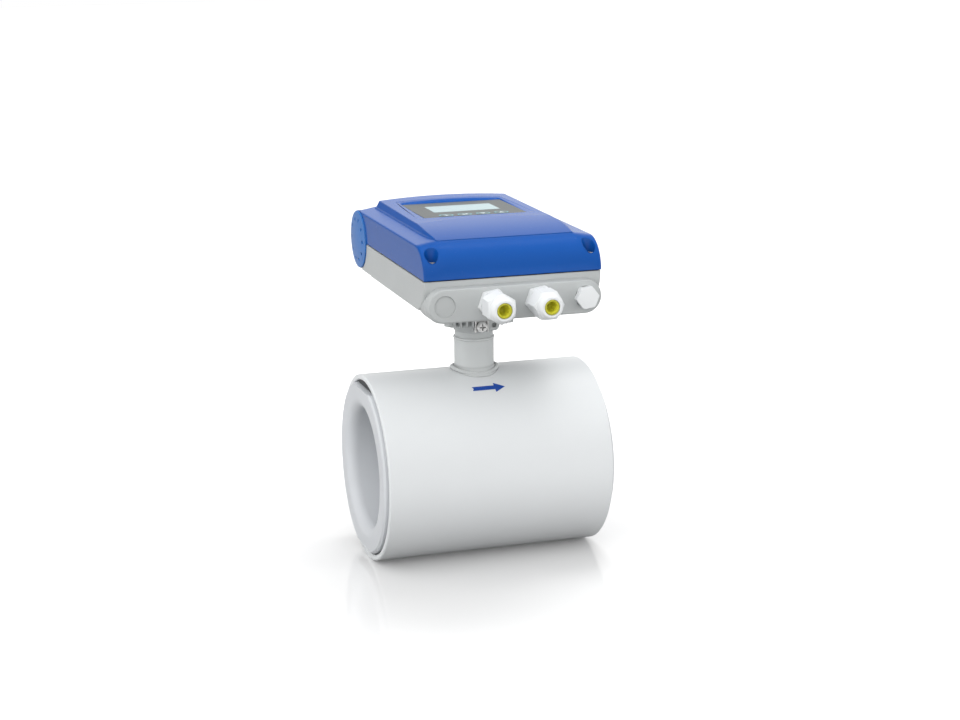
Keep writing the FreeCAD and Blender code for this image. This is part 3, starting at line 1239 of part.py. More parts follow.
def gland_body(x):
    """Hexagon with a threaded spigot in the housing and a threaded neck for the nut."""
    hexagon = hexagon_on_entry(GLAND_HEX_R, GLAND_HEX_TURN, x, 0, GLAND_HEX_T)
    neck_end = GLAND_HEX_T + NUT_HEX_L - NECK_SHORT
    bound = spun_on_entry([(0, 0), (0, GLAND_HEX_R), (GLAND_HEX_T - 0.8, GLAND_HEX_R),
                           (GLAND_HEX_T, GLAND_HEX_R - 0.9), (GLAND_HEX_T, 0)], x)
    spigot = entry_spigot(x)
    neck = spun_on_entry([(1, 0), (1, GLAND_NECK_R), (neck_end, GLAND_NECK_R), (neck_end, 0)], x)
    body = union([hexagon.common(bound), spigot, neck])
    seat = neck_end - GLAND_SEAT_L
    bore = spun_on_entry([(-SPIGOT_L - 1, 0), (-SPIGOT_L - 1, GLAND_BORE_R), (seat, GLAND_BORE_R),
                          (seat, INSERT_R), (neck_end + 1, INSERT_R), (neck_end + 1, 0)], x)
    return body.cut(bore)


def gland_nut(x, turn):
    """Domed cap nut with a plain mouth."""
    d0 = GLAND_HEX_T + NUT_GAP
    d1 = d0 + NUT_HEX_L
    d2 = d1 + NUT_DOME_L
    hexagon = hexagon_on_entry(NUT_HEX_R, turn, x, d0, d2)
    outline = [V(x, BOSS_FRONT_Y - d, ENTRY_Z + r) for d, r in
               ((d0, 0), (d0, NUT_HEX_R - 1.2), (d0 + 1, NUT_HEX_R), (d1 - 1.6, NUT_HEX_R), (d1, NUT_DOME_R))]
    tip = V(x, BOSS_FRONT_Y - d2, ENTRY_Z + NUT_LIP_R)
    knee = V(x, BOSS_FRONT_Y - d1 - NUT_DOME_L * 0.72, ENTRY_Z + NUT_DOME_R - (NUT_DOME_R - NUT_LIP_R) * 0.32)
    end = V(x, BOSS_FRONT_Y - d2, ENTRY_Z)
    edges = [Part.LineSegment(p, q).toShape() for p, q in zip(outline, outline[1:])]
    edges.append(Part.Arc(outline[-1], knee, tip).toShape())
    edges.append(Part.LineSegment(tip, end).toShape())
    edges.append(Part.LineSegment(end, outline[0]).toShape())
    dome = Part.Face(Part.Wire(edges)).revolve(V(x, 0, ENTRY_Z), V(0, 1, 0), 360)
    inner_r = GLAND_NECK_R + NUT_RUN_GAP
    bore = spun_on_entry([(d0 - 1, 0), (d0 - 1, inner_r), (d1 - 0.5, inner_r), (d1 + 2, NUT_MOUTH_R),
                          (d2 + 1, NUT_MOUTH_R), (d2 + 1, 0)], x)
    return hexagon.common(dome).cut(bore)


def gland_insert(x):
    """Soft sealing cup held in the gland's mouth."""
    face = GLAND_HEX_T + NUT_GAP + NUT_HEX_L + NUT_DOME_L - INSERT_SINK
    back = GLAND_HEX_T + NUT_HEX_L - NECK_SHORT - GLAND_SEAT_L
    inner = INSERT_R - INSERT_WALL
    return spun_on_entry([(back, 0), (back, INSERT_R), (face, INSERT_R), (face, inner),
                          (back + INSERT_FLOOR, inner), (back + INSERT_FLOOR, 0)], x)


def entry_seals():
    """Flat rings between the boss and the hexagons of both glands and the plug."""
    inner = ENTRY_R - THREAD_GAP
    outer = inner + SEAL_RING_W
    section = [(-SEAL_RING_T, inner), (-SEAL_RING_T, outer), (0, outer), (0, inner)]
    return Part.Compound([spun_on_entry(section, x) for x in ENTRY_X[1:]])


def blind_plug():
    """Hexagonal plug with a shallow groove behind its face."""
    x = ENTRY_X[3]
    hexagon = hexagon_on_entry(PLUG_HEX_R, PLUG_HEX_TURN, x, 0, PLUG_HEX_T)
    g0 = PLUG_GROOVE_AT
    g1 = PLUG_GROOVE_AT + PLUG_GROOVE_W
    flat = PLUG_HEX_R * math.cos(math.radians(30))
    bound = spun_on_entry([(0, 0), (0, PLUG_HEX_R), (g0, PLUG_HEX_R), (g0, flat - PLUG_GROOVE_D),
                           (g1, flat - PLUG_GROOVE_D), (g1, PLUG_HEX_R), (PLUG_HEX_T - 0.6, PLUG_HEX_R),
                           (PLUG_HEX_T, PLUG_HEX_R - 0.7), (PLUG_HEX_T, 0)], x)
    return union([hexagon.common(bound), entry_spigot(x)])


def parts():
    """Every node of the assembly by name."""
    nodes = {
        "sensor_shell": sensor_shell(),
        "end_ring_inlet": end_ring(-1),
        "end_ring_outlet": end_ring(1),
        "measuring_tube": measuring_tube(),
        "liner": liner(),
        "pole_upper": pole(90),
        "pole_lower": pole(-90),
        "coil_upper": coil(90),
        "coil_lower": coil(-90),
        "yoke_ring": yoke_ring(),
        "coil_wires": Part.Compound([coil_wire(-1), coil_wire(1), coil_link()]),
        "electrode_bushes": Part.Compound([electrode_bush(-1), electrode_bush(1)]),
        "electrode_nuts": Part.Compound([electrode_nut(-1), electrode_nut(1)]),
        "electrode_wires": Part.Compound([electrode_wire(-1), electrode_wire(1)]),
        "neck_tube": neck_tube(),
        "neck_adapter": neck_adapter(),
        "adapter_gasket": adapter_gasket(),
        "adapter_screws": adapter_screws(),
        "earth_clamp": earth_clamp(),
        "earth_washer": earth_washer(),
        "earth_screw": earth_screw(),
        "base_housing": base_housing(),
        "cover_seal": cover_seal(),
        "cover": cover(),
        "display_panel": display_panel(),
        "lcd_window": lcd_window(),
        "electronics_tray": electronics_tray(),
        "tray_screws": tray_screws(),
        "main_board": main_board(),
        "lead_connector": lead_connector(),
        "transformer": transformer(),
        "capacitors": capacitors(),
        "board_chips": board_chips(),
        "terminal_block": terminal_block(),
        "terminal_screws": terminal_screws(),
        "display_posts": display_posts(),
        "display_board": display_board(),
        "lcd_module": lcd_module(),
        "key_switches": key_switches(),
        "entry_seals": entry_seals(),
        "blind_plug": blind_plug(),
    }
    for side, name in ((-1, "front"), (1, "rear")):
        nodes["electrode_" + name] = electrode(side)
    for side, name in ((-1, "left"), (1, "right")):
        nodes["hinge_cap_" + name] = hinge_cap(side)
        nodes["hinge_pin_" + name] = hinge_pin(side)
        nodes["cover_screw_" + name] = cover_screw(side)
    for x, turn, name in zip(ENTRY_X[1:3], NUT_TURNS, ("left", "right")):
        nodes["gland_body_" + name] = gland_body(x)
        nodes["gland_insert_" + name] = gland_insert(x)
        nodes["gland_nut_" + name] = gland_nut(x, turn)
    for number, x in enumerate(KEY_X, 1):
        nodes["key_%d" % number] = key(x)
    return nodes


os.makedirs("parts", exist_ok=True)
for name, shape in parts().items():
    shape.exportStep("parts/%s.step" % name)
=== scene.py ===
import json
import math

import bpy
from mathutils import Matrix, Vector
from mathutils.bvhtree import BVHTree

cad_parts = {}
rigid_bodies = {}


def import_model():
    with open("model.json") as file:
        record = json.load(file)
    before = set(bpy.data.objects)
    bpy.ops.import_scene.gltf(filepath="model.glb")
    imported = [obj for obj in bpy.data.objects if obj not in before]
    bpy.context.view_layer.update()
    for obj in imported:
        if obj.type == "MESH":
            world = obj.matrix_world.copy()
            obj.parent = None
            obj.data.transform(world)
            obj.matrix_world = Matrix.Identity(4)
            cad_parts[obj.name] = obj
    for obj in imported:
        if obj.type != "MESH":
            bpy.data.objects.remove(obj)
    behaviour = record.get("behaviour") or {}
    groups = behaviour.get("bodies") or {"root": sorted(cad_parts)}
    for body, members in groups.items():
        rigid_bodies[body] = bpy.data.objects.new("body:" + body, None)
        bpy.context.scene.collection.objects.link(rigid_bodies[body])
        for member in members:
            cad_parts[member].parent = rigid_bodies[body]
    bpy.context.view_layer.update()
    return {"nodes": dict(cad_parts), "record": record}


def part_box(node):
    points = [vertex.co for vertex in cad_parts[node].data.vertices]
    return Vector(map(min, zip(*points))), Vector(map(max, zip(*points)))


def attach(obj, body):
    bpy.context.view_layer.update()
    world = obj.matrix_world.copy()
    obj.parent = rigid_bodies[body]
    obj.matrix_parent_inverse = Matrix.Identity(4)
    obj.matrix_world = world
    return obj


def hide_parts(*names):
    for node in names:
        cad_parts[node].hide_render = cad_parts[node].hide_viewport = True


for leftover in list(bpy.data.objects):
    bpy.data.objects.remove(leftover)

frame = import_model()
nodes = frame["nodes"]

# All lengths are in metres.
FLOOR_Z = -0.079
SHELL_R = 0.079


# Materials
MOTTLE_SCALE = 30.0
ROUGH_SPREAD = 0.05
SMOOTHEST = 0.02
GRAIN_DEPTH = 0.0002
# Share of the colour left where shade is painted into crevices.
PAINTED_SHADE_TONE = 0.12


def add_node(tree, kind, values, **settings):
    """A new node: its settings first, then each input set to a value or linked to a socket."""
    node = tree.nodes.new(kind)
    for name, value in settings.items():
        setattr(node, name, value)
    for name, value in values.items():
        if isinstance(value, bpy.types.NodeSocket):
            tree.links.new(value, node.inputs[name])
        else:
            node.inputs[name].default_value = value
    return node


def surface(name, colour, rough=0.4, metal=0.0, mottle=0.04, grain=900.0, bump=0.05, coat=0.0,
            coat_rough=0.15, specular=0.5, alpha=1.0, edge=0.0, painted_shade_reach=0.0):
    """A finish with slow colour variation, roughness variation and a fine surface grain.

    Edge is the radius to which sharp edges are eased in the shading. The last argument is the
    reach of painted shade: within it, narrow gaps and crevices get their colour darkened as
    shade.
    """
    mat = bpy.data.materials.new(name)
    mat.use_nodes = True
    tree = mat.node_tree
    shader = tree.nodes["Principled BSDF"]
    place = tree.nodes.new("ShaderNodeTexCoord").outputs["Object"]

    slow = add_node(tree, "ShaderNodeTexNoise",
                    {"Scale": MOTTLE_SCALE, "Detail": 4.0, "Vector": place})
    tint = add_node(tree, "ShaderNodeMix",
                    {"A": (*[c * (1 - mottle) for c in colour], 1),
                     "B": (*[min(1.0, c * (1 + mottle)) for c in colour], 1),
                     "Factor": slow.outputs["Fac"]}, data_type="RGBA")
    # Painted shade: the colour is darkened in narrow gaps and crevices, going by the ambient
    # occlusion.
    if painted_shade_reach:
        openness = add_node(tree, "ShaderNodeAmbientOcclusion", {"Distance": painted_shade_reach}, samples=8)
        tint = add_node(tree, "ShaderNodeMix",
                        {"A": (*[c * PAINTED_SHADE_TONE for c in colour], 1),
                         "B": tint.outputs["Result"],
                         "Factor": openness.outputs["AO"]}, data_type="RGBA")
    tree.links.new(tint.outputs["Result"], shader.inputs["Base Color"])

    fine = add_node(tree, "ShaderNodeTexNoise", {"Scale": grain, "Detail": 3.0, "Vector": place})
    spread = add_node(tree, "ShaderNodeMapRange",
                      {"To Min": max(SMOOTHEST, rough - ROUGH_SPREAD),
                       "To Max": rough + ROUGH_SPREAD, "Value": fine.outputs["Fac"]})
    tree.links.new(spread.outputs["Result"], shader.inputs["Roughness"])
    relief = add_node(tree, "ShaderNodeBump",
                      {"Strength": bump, "Distance": GRAIN_DEPTH, "Height": fine.outputs["Fac"]})
    if edge:
        eased = add_node(tree, "ShaderNodeBevel", {"Radius": edge}, samples=4)
        tree.links.new(eased.outputs["Normal"], relief.inputs["Normal"])
    tree.links.new(relief.outputs["Normal"], shader.inputs["Normal"])

    shader.inputs["Metallic"].default_value = metal
    shader.inputs["Coat Weight"].default_value = coat
    shader.inputs["Coat Roughness"].default_value = coat_rough
    shader.inputs["Specular IOR Level"].default_value = specular
    shader.inputs["Alpha"].default_value = alpha
    return mat


RECIPES = {
    "shell_paint": dict(colour=(0.74, 0.76, 0.77), rough=0.30, bump=0.02, mottle=0.015),
    # The neck and the screws get shade painted into their crevices: along the weld, in the
    # adapter's gaps and in the screw's cross.
    "neck_paint": dict(colour=(0.58, 0.60, 0.60), rough=0.25, bump=0.03, grain=400.0,
                       edge=0.0006, painted_shade_reach=0.003),
    "housing_paint": dict(colour=(0.485, 0.505, 0.505), rough=0.34, grain=500.0, edge=0.0008),
    "cover_paint": dict(colour=(0.0035, 0.080, 0.365), rough=0.25, bump=0.015, edge=0.0014,
                        mottle=0.03, specular=0.44),
    "cap_plastic": dict(colour=(0.035, 0.17, 0.50), rough=0.30, bump=0.02, grain=400.0,
                        edge=0.0005),
    "liner_plastic": dict(colour=(0.62, 0.64, 0.665), rough=0.35, bump=0.03, grain=400.0),
    "steel": dict(colour=(0.55, 0.55, 0.54), rough=0.35, metal=1.0),
    "iron": dict(colour=(0.12, 0.12, 0.13), rough=0.5, metal=1.0),
    "copper": dict(colour=(0.55, 0.22, 0.10), rough=0.35, metal=1.0),
    "screw_steel": dict(colour=(0.86, 0.86, 0.85), rough=0.25, metal=0.5, painted_shade_reach=0.0025),
    "wire_skin": dict(colour=(0.5, 0.03, 0.02), rough=0.5),
    "gland_plastic": dict(colour=(0.80, 0.82, 0.83), rough=0.30, bump=0.03, grain=500.0,
                          edge=0.0004),
    "insert_rubber": dict(colour=(0.50, 0.48, 0.03), rough=0.5, bump=0.10, mottle=0.08),
    # The same yellow, made lighter as painted light for the insert's shaded inside.
    "insert_painted_light_inside": dict(colour=(0.70, 0.68, 0.05), rough=0.5, bump=0.10, mottle=0.08),
    "seal_rubber": dict(colour=(0.02, 0.02, 0.02), rough=0.6),
    # A near-black grey that paints the shade in the gaps at the shell's ends.
    "gap_shade_grey": dict(colour=(0.045, 0.047, 0.05), rough=0.5, mottle=0.1),
    "panel_film": dict(colour=(0.13, 0.14, 0.14), rough=0.42, bump=0.06, grain=1500.0),
    "window": dict(colour=(0.75, 0.88, 0.9), rough=0.05, alpha=0.15),
    "key_film": dict(colour=(0.12, 0.13, 0.13), rough=0.42, bump=0.06, grain=1500.0),
    "lcd": dict(colour=(0.45, 0.68, 0.70), rough=0.3),
    "board": dict(colour=(0.01, 0.12, 0.04)),
    "black_plastic": dict(colour=(0.02, 0.02, 0.022), rough=0.45),
    "green_plastic": dict(colour=(0.02, 0.20, 0.05)),
    "can_aluminium": dict(colour=(0.7, 0.7, 0.7), rough=0.3, metal=1.0),
    "tray_plastic": dict(colour=(0.05, 0.055, 0.06), rough=0.5),
    "print_blue": dict(colour=(0.006, 0.06, 0.36), rough=0.35, bump=0.03),
    "print_cyan": dict(colour=(0.28, 0.60, 0.66), bump=0.03),
    "print_white": dict(colour=(0.80, 0.82, 0.82), bump=0.03),
    "display_film": dict(colour=(0.33, 0.49, 0.52), rough=0.25, bump=0.0, mottle=0.02, coat=0.4,
                         coat_rough=0.1),
}
FINISHES = {name: surface(name, **recipe) for name, recipe in RECIPES.items()}


def add_display_cells():
    """Give the pale display the faint cells of a character display."""
    tree = FINISHES["display_film"].node_tree
    coords = tree.nodes.new("ShaderNodeTexCoord")
    cells = add_node(tree, "ShaderNodeTexBrick",
                     {"Scale": 1.0, "Brick Width": 0.0029, "Row Height": 0.0055,
                      "Mortar Size": 0.0003, "Color1": (0.31, 0.475, 0.505, 1),
                      "Color2": (0.33, 0.49, 0.52, 1), "Mortar": (0.36, 0.53, 0.56, 1),
                      "Vector": coords.outputs["Object"]}, offset=0.0)
    shader = tree.nodes["Principled BSDF"]
    tree.links.new(cells.outputs["Color"], shader.inputs["Base Color"])


add_display_cells()

slots = {row["node"]: row["material_slot"] for row in frame["record"]["subparts"]}
for name, obj in nodes.items():
    obj.data.materials.clear()
    # The end rings take that near-black grey as painted shade in the gap between the shell's rim
    # and the liner.
    finish_name = "gap_shade_grey" if name.startswith("end_ring") else slots[name]
    obj.data.materials.append(FINISHES[finish_name])

members = frame["record"]["behaviour"]["bodies"]
BODY_OF = {node: body for body in members for node in members[body]}


# Mesh tools
def piece(name, verts, faces, finish, carrier, smooth=True):
    """A mesh piece that rides on the body that carries the named node.

    Its faces are turned to look outward.
    """
    mesh = bpy.data.meshes.new(name)
    mesh.from_pydata(verts, [], faces)
    mesh.materials.append(finish)
    mesh.update()
    if sum(face.center.dot(face.normal) * face.area for face in mesh.polygons) < 0:
        mesh.flip_normals()
    if smooth:
        mesh.shade_smooth()
    obj = bpy.data.objects.new(name, mesh)
    bpy.context.scene.collection.objects.link(obj)
    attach(obj, BODY_OF[carrier])
    return obj


def ring_faces(rows, count, close_rows=False):
    """Quads between rows of points that each go round once."""
    faces = []
    last = rows if close_rows else rows - 1
    for r in range(last):
        low = r * count
        high = (r + 1) % rows * count
        for k in range(count):
            n = (k + 1) % count
            faces.append((low + k, low + n, high + n, high + k))
    return faces


def stadium_ring(length, width, count):
    """Points of an oval outline, centred on the origin."""
    r = width / 2
    half = length / 2 - r
    points = []
    for k in range(count):
        t = 2 * math.pi * (k + 0.5) / count
        shift = half if math.cos(t) > 0 else -half
        points.append((shift + r * math.cos(t), r * math.sin(t)))
    return points


def rounded(x0, x1, y0, y1, r, steps=4):
    """Points of a rectangle with round corners."""
    points = []
    corners = ((x1 - r, y1 - r, 0), (x0 + r, y1 - r, 90),
               (x0 + r, y0 + r, 180), (x1 - r, y0 + r, 270))
    for cx, cy, start in corners:
        for k in range(steps + 1):
            a = math.radians(start + 90 * k / steps)
            points.append((cx + r * math.cos(a), cy + r * math.sin(a)))
    return points


def slab(name, outline, low_z, high_z, edge, finish, carrier):
    """A flat plate over an outline, with its upper edge eased; edge is the width of that ease."""
    n = len(outline)
    cx = sum(x for x, y in outline) / n
    cy = sum(y for x, y in outline) / n
    far_x = max(abs(x - cx) for x, y in outline)
    far_y = max(abs(y - cy) for x, y in outline)
    levels = ((0, low_z), (0, high_z - edge), (edge * 0.3, high_z - edge * 0.3), (edge, high_z))
    verts = []
    for inset, z in levels:
        fx = 1 - inset / far_x
        fy = 1 - inset / far_y
        verts += [(cx + (x - cx) * fx, cy + (y - cy) * fy, z) for x, y in outline]
    faces = ring_faces(len(levels), n)
    faces.append(tuple(reversed(range(n))))
    faces.append(tuple(range(3 * n, 4 * n)))
    return piece(name, verts, faces, finish, carrier, False)


# Sensor body and neck
ARROW_ANGLE = 28.0
ARROW_SHAFT = 1.75
ARROW_HEAD = 4.1
PRINT_LIFT = 0.00012
BEAD_SIDES = 12
# Size of the dark rings that paint the shade deep in the gaps at the shell's ends.
GAP_SHADE_INNER_R = 0.0675
GAP_SHADE_OUTER_R = 0.07435
GAP_SHADE_COUNT = 240
COLLAR_Z = 0.1062


def on_shell(x, angle):
    """A point just over the shell: angle from the top toward the front, in degrees."""
    a = math.radians(angle)
    r = SHELL_R + PRINT_LIFT
    return (x, -r * math.sin(a), r * math.cos(a))


def flow_arrow():
    """Printed arrow that shows the flow direction, curved with the shell."""
    # Place of the two edge points, place of the middle point, half width in degrees.
    columns = [(-0.0134, -0.0122, ARROW_SHAFT), (-0.0060, -0.0060, ARROW_SHAFT),
               (0.0, 0.0, ARROW_SHAFT), (0.0060, 0.0060, ARROW_SHAFT),
               (0.0061, 0.0061, ARROW_HEAD), (0.0107, 0.0107, ARROW_HEAD / 2),
               (0.0152, 0.0152, 0.02)]
    verts = []
    for x, middle_x, half in columns:
        verts.append(on_shell(x, ARROW_ANGLE - half))
        verts.append(on_shell(middle_x, ARROW_ANGLE))
        verts.append(on_shell(x, ARROW_ANGLE + half))
    faces = []
    for c in range(len(columns) - 1):
        i = 3 * c
        faces.append((i, i + 1, i + 4, i + 3))
        faces.append((i + 1, i + 2, i + 5, i + 4))
    piece("flow_arrow", verts, faces, FINISHES["print_blue"], "sensor_shell")


def bead(name, ring_r, tube_r, height, count, ripples, wave):
    """A weld bead round the neck: a closed tube with the small scales of the weld pool."""
    verts = []
    for k in range(count):
        t = 2 * math.pi * k / count
        x = math.cos(t)
        y = math.sin(t)
        phase = ripples * t + 0.5 * math.sin(3 * t)
        swell = tube_r * (1 + wave * abs(math.sin(phase / 2)) - wave / 2)
        z = height(ring_r * y)
        for j in range(BEAD_SIDES):
            p = 2 * math.pi * j / BEAD_SIDES
            r = ring_r + swell * math.cos(p)
            verts.append((x * r, y * r, z + swell * math.sin(p)))
    piece(name, verts, ring_faces(count, BEAD_SIDES, True), FINISHES["neck_paint"],
          "neck_tube")


def saddle_height(y):
    """Height of the weld bead where the neck meets the round shell."""
    return math.sqrt(SHELL_R ** 2 - y * y) + 0.0010


def rim_gap_shade(name, x0, x1):
    """Dark ring as painted shade in the gap between the liner's rim and the shell, a little below
    its end.
    """
    verts = []
    for k in range(GAP_SHADE_COUNT):
        t = 2 * math.pi * k / GAP_SHADE_COUNT
        for x, r in ((x0, GAP_SHADE_INNER_R), (x0, GAP_SHADE_OUTER_R), (x1, GAP_SHADE_OUTER_R),
                     (x1, GAP_SHADE_INNER_R)):
            verts.append((x, r * math.cos(t), r * math.sin(t)))
    piece(name, verts, ring_faces(GAP_SHADE_COUNT, 4, True), FINISHES["gap_shade_grey"],
          "liner", False)


flow_arrow()
bead("neck_weld", 0.0188, 0.0020, saddle_height, 480, 64, 0.12)
bead("neck_collar", 0.0164, 0.0011, lambda y: COLLAR_Z, 360, 52, 0.08)
rim_gap_shade("rim_seal_inlet", -0.0950, -0.0935)
rim_gap_shade("rim_seal_outlet", 0.0935, 0.0950)


# Cable entries
INSERT_COUNT = 144
INSERT_RIBS = 18
INSERT_RIB_DEPTH = 0.00028
INSERT_WALL = 0.0014
FIRST_INSIDE_ROW = 5


def ribbed_insert(node):
    """Soft sealing insert: a closed cup with fine ribs down its inner wall."""
    low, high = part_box(node)
    cx = (low[0] + high[0]) / 2
    cz = (low[2] + high[2]) / 2
    outer = (high[0] - low[0]) / 2
    front = low[1]
    depth = high[1] - low[1]
    inner = outer - INSERT_WALL
    # Radius, depth from the front, share of the full rib depth.
    profile = [(outer, depth, 0), (outer, 0.0005, 0), (outer - 0.0003, 0.0001, 0),
               (outer - 0.0007, 0, 0), (inner + 0.0003, 0, 0.2), (inner, 0.0003, 0.7),
               (inner - 0.0002, 0.0010, 1), (inner - 0.0006, depth * 0.5, 1),
               (inner - 0.0010, depth - 0.0022, 1), (inner - 0.0016, depth - 0.0018, 0.4),
               (0.0006, depth - 0.0017, 0)]
    verts = []
    for r, d, share in profile:
        for k in range(INSERT_COUNT):
            t = 2 * math.pi * k / INSERT_COUNT
            groove = share * INSERT_RIB_DEPTH * (0.5 + 0.5 * math.cos(INSERT_RIBS * t))
            verts.append((cx + (r - groove) * math.cos(t), front + d,
                          cz + (r - groove) * math.sin(t)))
    faces = ring_faces(len(profile), INSERT_COUNT)
    faces.append(tuple(range(INSERT_COUNT)))
    last = (len(profile) - 1) * INSERT_COUNT
    faces.append(tuple(last + k for k in reversed(range(INSERT_COUNT))))
    obj = piece(node + "_ribbed", verts, faces, FINISHES["insert_rubber"], node)
    # The inner wall and the floor of the cup take the lighter yellow: painted light in the shaded
    # hollow.
    obj.data.materials.append(FINISHES["insert_painted_light_inside"])
    inside_wall = range(FIRST_INSIDE_ROW * INSERT_COUNT, last)
    cup_floor = last + 1
    for face in obj.data.polygons:
        inside = face.index in inside_wall or face.index == cup_floor
        face.material_index = 1 if inside else 0
    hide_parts(node)


for side in ("left", "right"):
    ribbed_insert("gland_insert_" + side)


# Display: plate, window and keys lie nearly flush with the lip of the roof.
DISPLAY_RAISE = 0.0017
PANEL_REAR_Y = 0.0630
BORDER_GAP = 0.00015
BORDER_SIDE_COUNT = 24
BORDER_STEPS = ((0, 0), (0.08, 0.40), (0.22, 0.68), (0.45, 0.85), (0.7, 0.95), (1, 1))
ROOF_MARGIN = 0.0012
KEY_COUNT = 64
KEY_SYMBOL_SIZE = 0.0023
KEY_SYMBOLS = {
    1: [(-1, 1), (0.2, 0), (-1, -1), (-0.1, -1), (1.1, 0), (-0.1, 1)],
    2: [(1.2, 1), (1.2, -0.5), (-0.3, -0.5), (-0.3, -1.1), (-1.3, -0.1), (-0.3, 0.9),
        (-0.3, 0.3), (0.5, 0.3), (0.5, 1)],
    3: [(-1.1, 0.9), (0, -1), (1.1, 0.9)],
    4: [(-1.1, -0.9), (1.1, -0.9), (0, 1)],
}
panel_low, panel_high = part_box("display_panel")
PANEL_TOP = panel_high[2] + DISPLAY_RAISE
ROOF = BVHTree.FromObject(nodes["cover"], bpy.context.evaluated_depsgraph_get())


def roof_height(x, y):
    """Height of the cover's roof at a place."""
    hit = ROOF.ray_cast(Vector((x, y, 0.3)), Vector((0, 0, -1)))
    return hit[0][2]


def between(a, b, t):
    """The point at share t of the way from a to b."""
    return (a[0] + (b[0] - a[0]) * t, a[1] + (b[1] - a[1]) * t)


def display_plate():
    """Panel plate, set just under the lip of the roof."""
    x = panel_high[0]
    outline = rounded(-x, x, panel_low[1], PANEL_REAR_Y, 0.0008)
    obj = slab("display_plate", outline, panel_high[2] + 0.00005, PANEL_TOP, 0.00025,
               FINISHES["panel_film"], "display_panel")
    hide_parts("display_panel")


def border_corner(side, at_rear):
    """Where the border meets the roof: its distance from the plate grows with the roof's rise."""
    y = panel_high[1] + 0.0011 if at_rear else panel_low[1] - 0.0006
    probe_y = y + ROOF_MARGIN if at_rear else y
    widen = 0.0038 if at_rear else 0.0200
    reach = 0.004
    for _ in range(4):
        z = roof_height(side * (panel_high[0] + reach + ROOF_MARGIN), probe_y)
        reach = widen * (z - panel_high[2]) / 0.005
    return (side * (panel_high[0] + reach), y)


def recess_border():
    """Painted border that leads from the plate up to the roof."""
    x = panel_high[0] + BORDER_GAP
    front_y = panel_low[1] - BORDER_GAP
    rear_y = PANEL_REAR_Y + BORDER_GAP
    corners = [(-x, front_y), (x, front_y), (x, rear_y), (-x, rear_y)]
    rim = [border_corner(-1, False), border_corner(1, False), border_corner(1, True),
           border_corner(-1, True)]
    inner, outer = [], []
    for c in range(4):
        for k in range(BORDER_SIDE_COUNT):
            t = k / BORDER_SIDE_COUNT
            inner.append(between(corners[c], corners[(c + 1) % 4], t))
            outer.append(between(rim[c], rim[(c + 1) % 4], t))
    middle_y = (panel_low[1] + PANEL_REAR_Y) / 2
    tops = []
    for rim_x, rim_y in outer:
        d = math.hypot(rim_x, rim_y - middle_y)
        tops.append(roof_height(rim_x + rim_x / d * ROOF_MARGIN,
                                rim_y + (rim_y - middle_y) / d * ROOF_MARGIN) - 0.00003)
    foot = PANEL_TOP - 0.0003
    verts = []
    for share, lift in BORDER_STEPS:
        for near, far, top in zip(inner, outer, tops):
            verts.append((*between(near, far, share), foot + (top - foot) * lift))
    piece("recess_border", verts, ring_faces(len(BORDER_STEPS), len(inner)),
          FINISHES["cover_paint"], "cover")


def display_window():
    """Window of the display, flush with the panel."""
    low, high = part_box("lcd_window")
    outline = rounded(low[0], high[0], low[1], high[1], 0.0006)
    obj = slab("display_window", outline, high[2] + 0.0002, PANEL_TOP + 0.00008, 0.0002,
               FINISHES["display_film"], "lcd_window")
    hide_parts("lcd_window")


def key(index):
    """One oval key with its printed outline and symbol."""
    node = "key_%d" % index
    low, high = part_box(node)
    cx = (low[0] + high[0]) / 2
    cy = (low[1] + high[1]) / 2
    length = high[0] - low[0]
    width = high[1] - low[1]
    top = high[2] + DISPLAY_RAISE
    print_z = top + 0.00005

    pad = [(cx + x, cy + y) for x, y in stadium_ring(length, width, KEY_COUNT)]
    obj = slab(node + "_pad", pad, PANEL_TOP - 0.0006, top, 0.00015, FINISHES["key_film"],
               node)
    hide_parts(node)

    verts = []
    for inset in (0.0008, 0.0028):
        verts += [(cx + x, cy + y, print_z)
                  for x, y in stadium_ring(length - inset, width - inset, KEY_COUNT)]
    piece(node + "_outline", verts, ring_faces(2, KEY_COUNT), FINISHES["print_cyan"],
          node, False)

    verts = [(cx + KEY_SYMBOL_SIZE * x, cy + KEY_SYMBOL_SIZE * y, print_z)
             for x, y in KEY_SYMBOLS[index]]
    piece(node + "_symbol", verts, [tuple(range(len(verts)))], FINISHES["print_white"],
          node, False)


display_plate()
recess_border()
display_window()
for index in range(1, 5):
    key(index)


# Stage
FLOOR_REACH = 8.0
FLOOR_TONE = (0.90, 0.90, 0.90, 1)
FLOOR_BOUNCE_TONE = (0.30, 0.30, 0.30, 1)
FLOOR_MIRROR_SHARE = 0.35


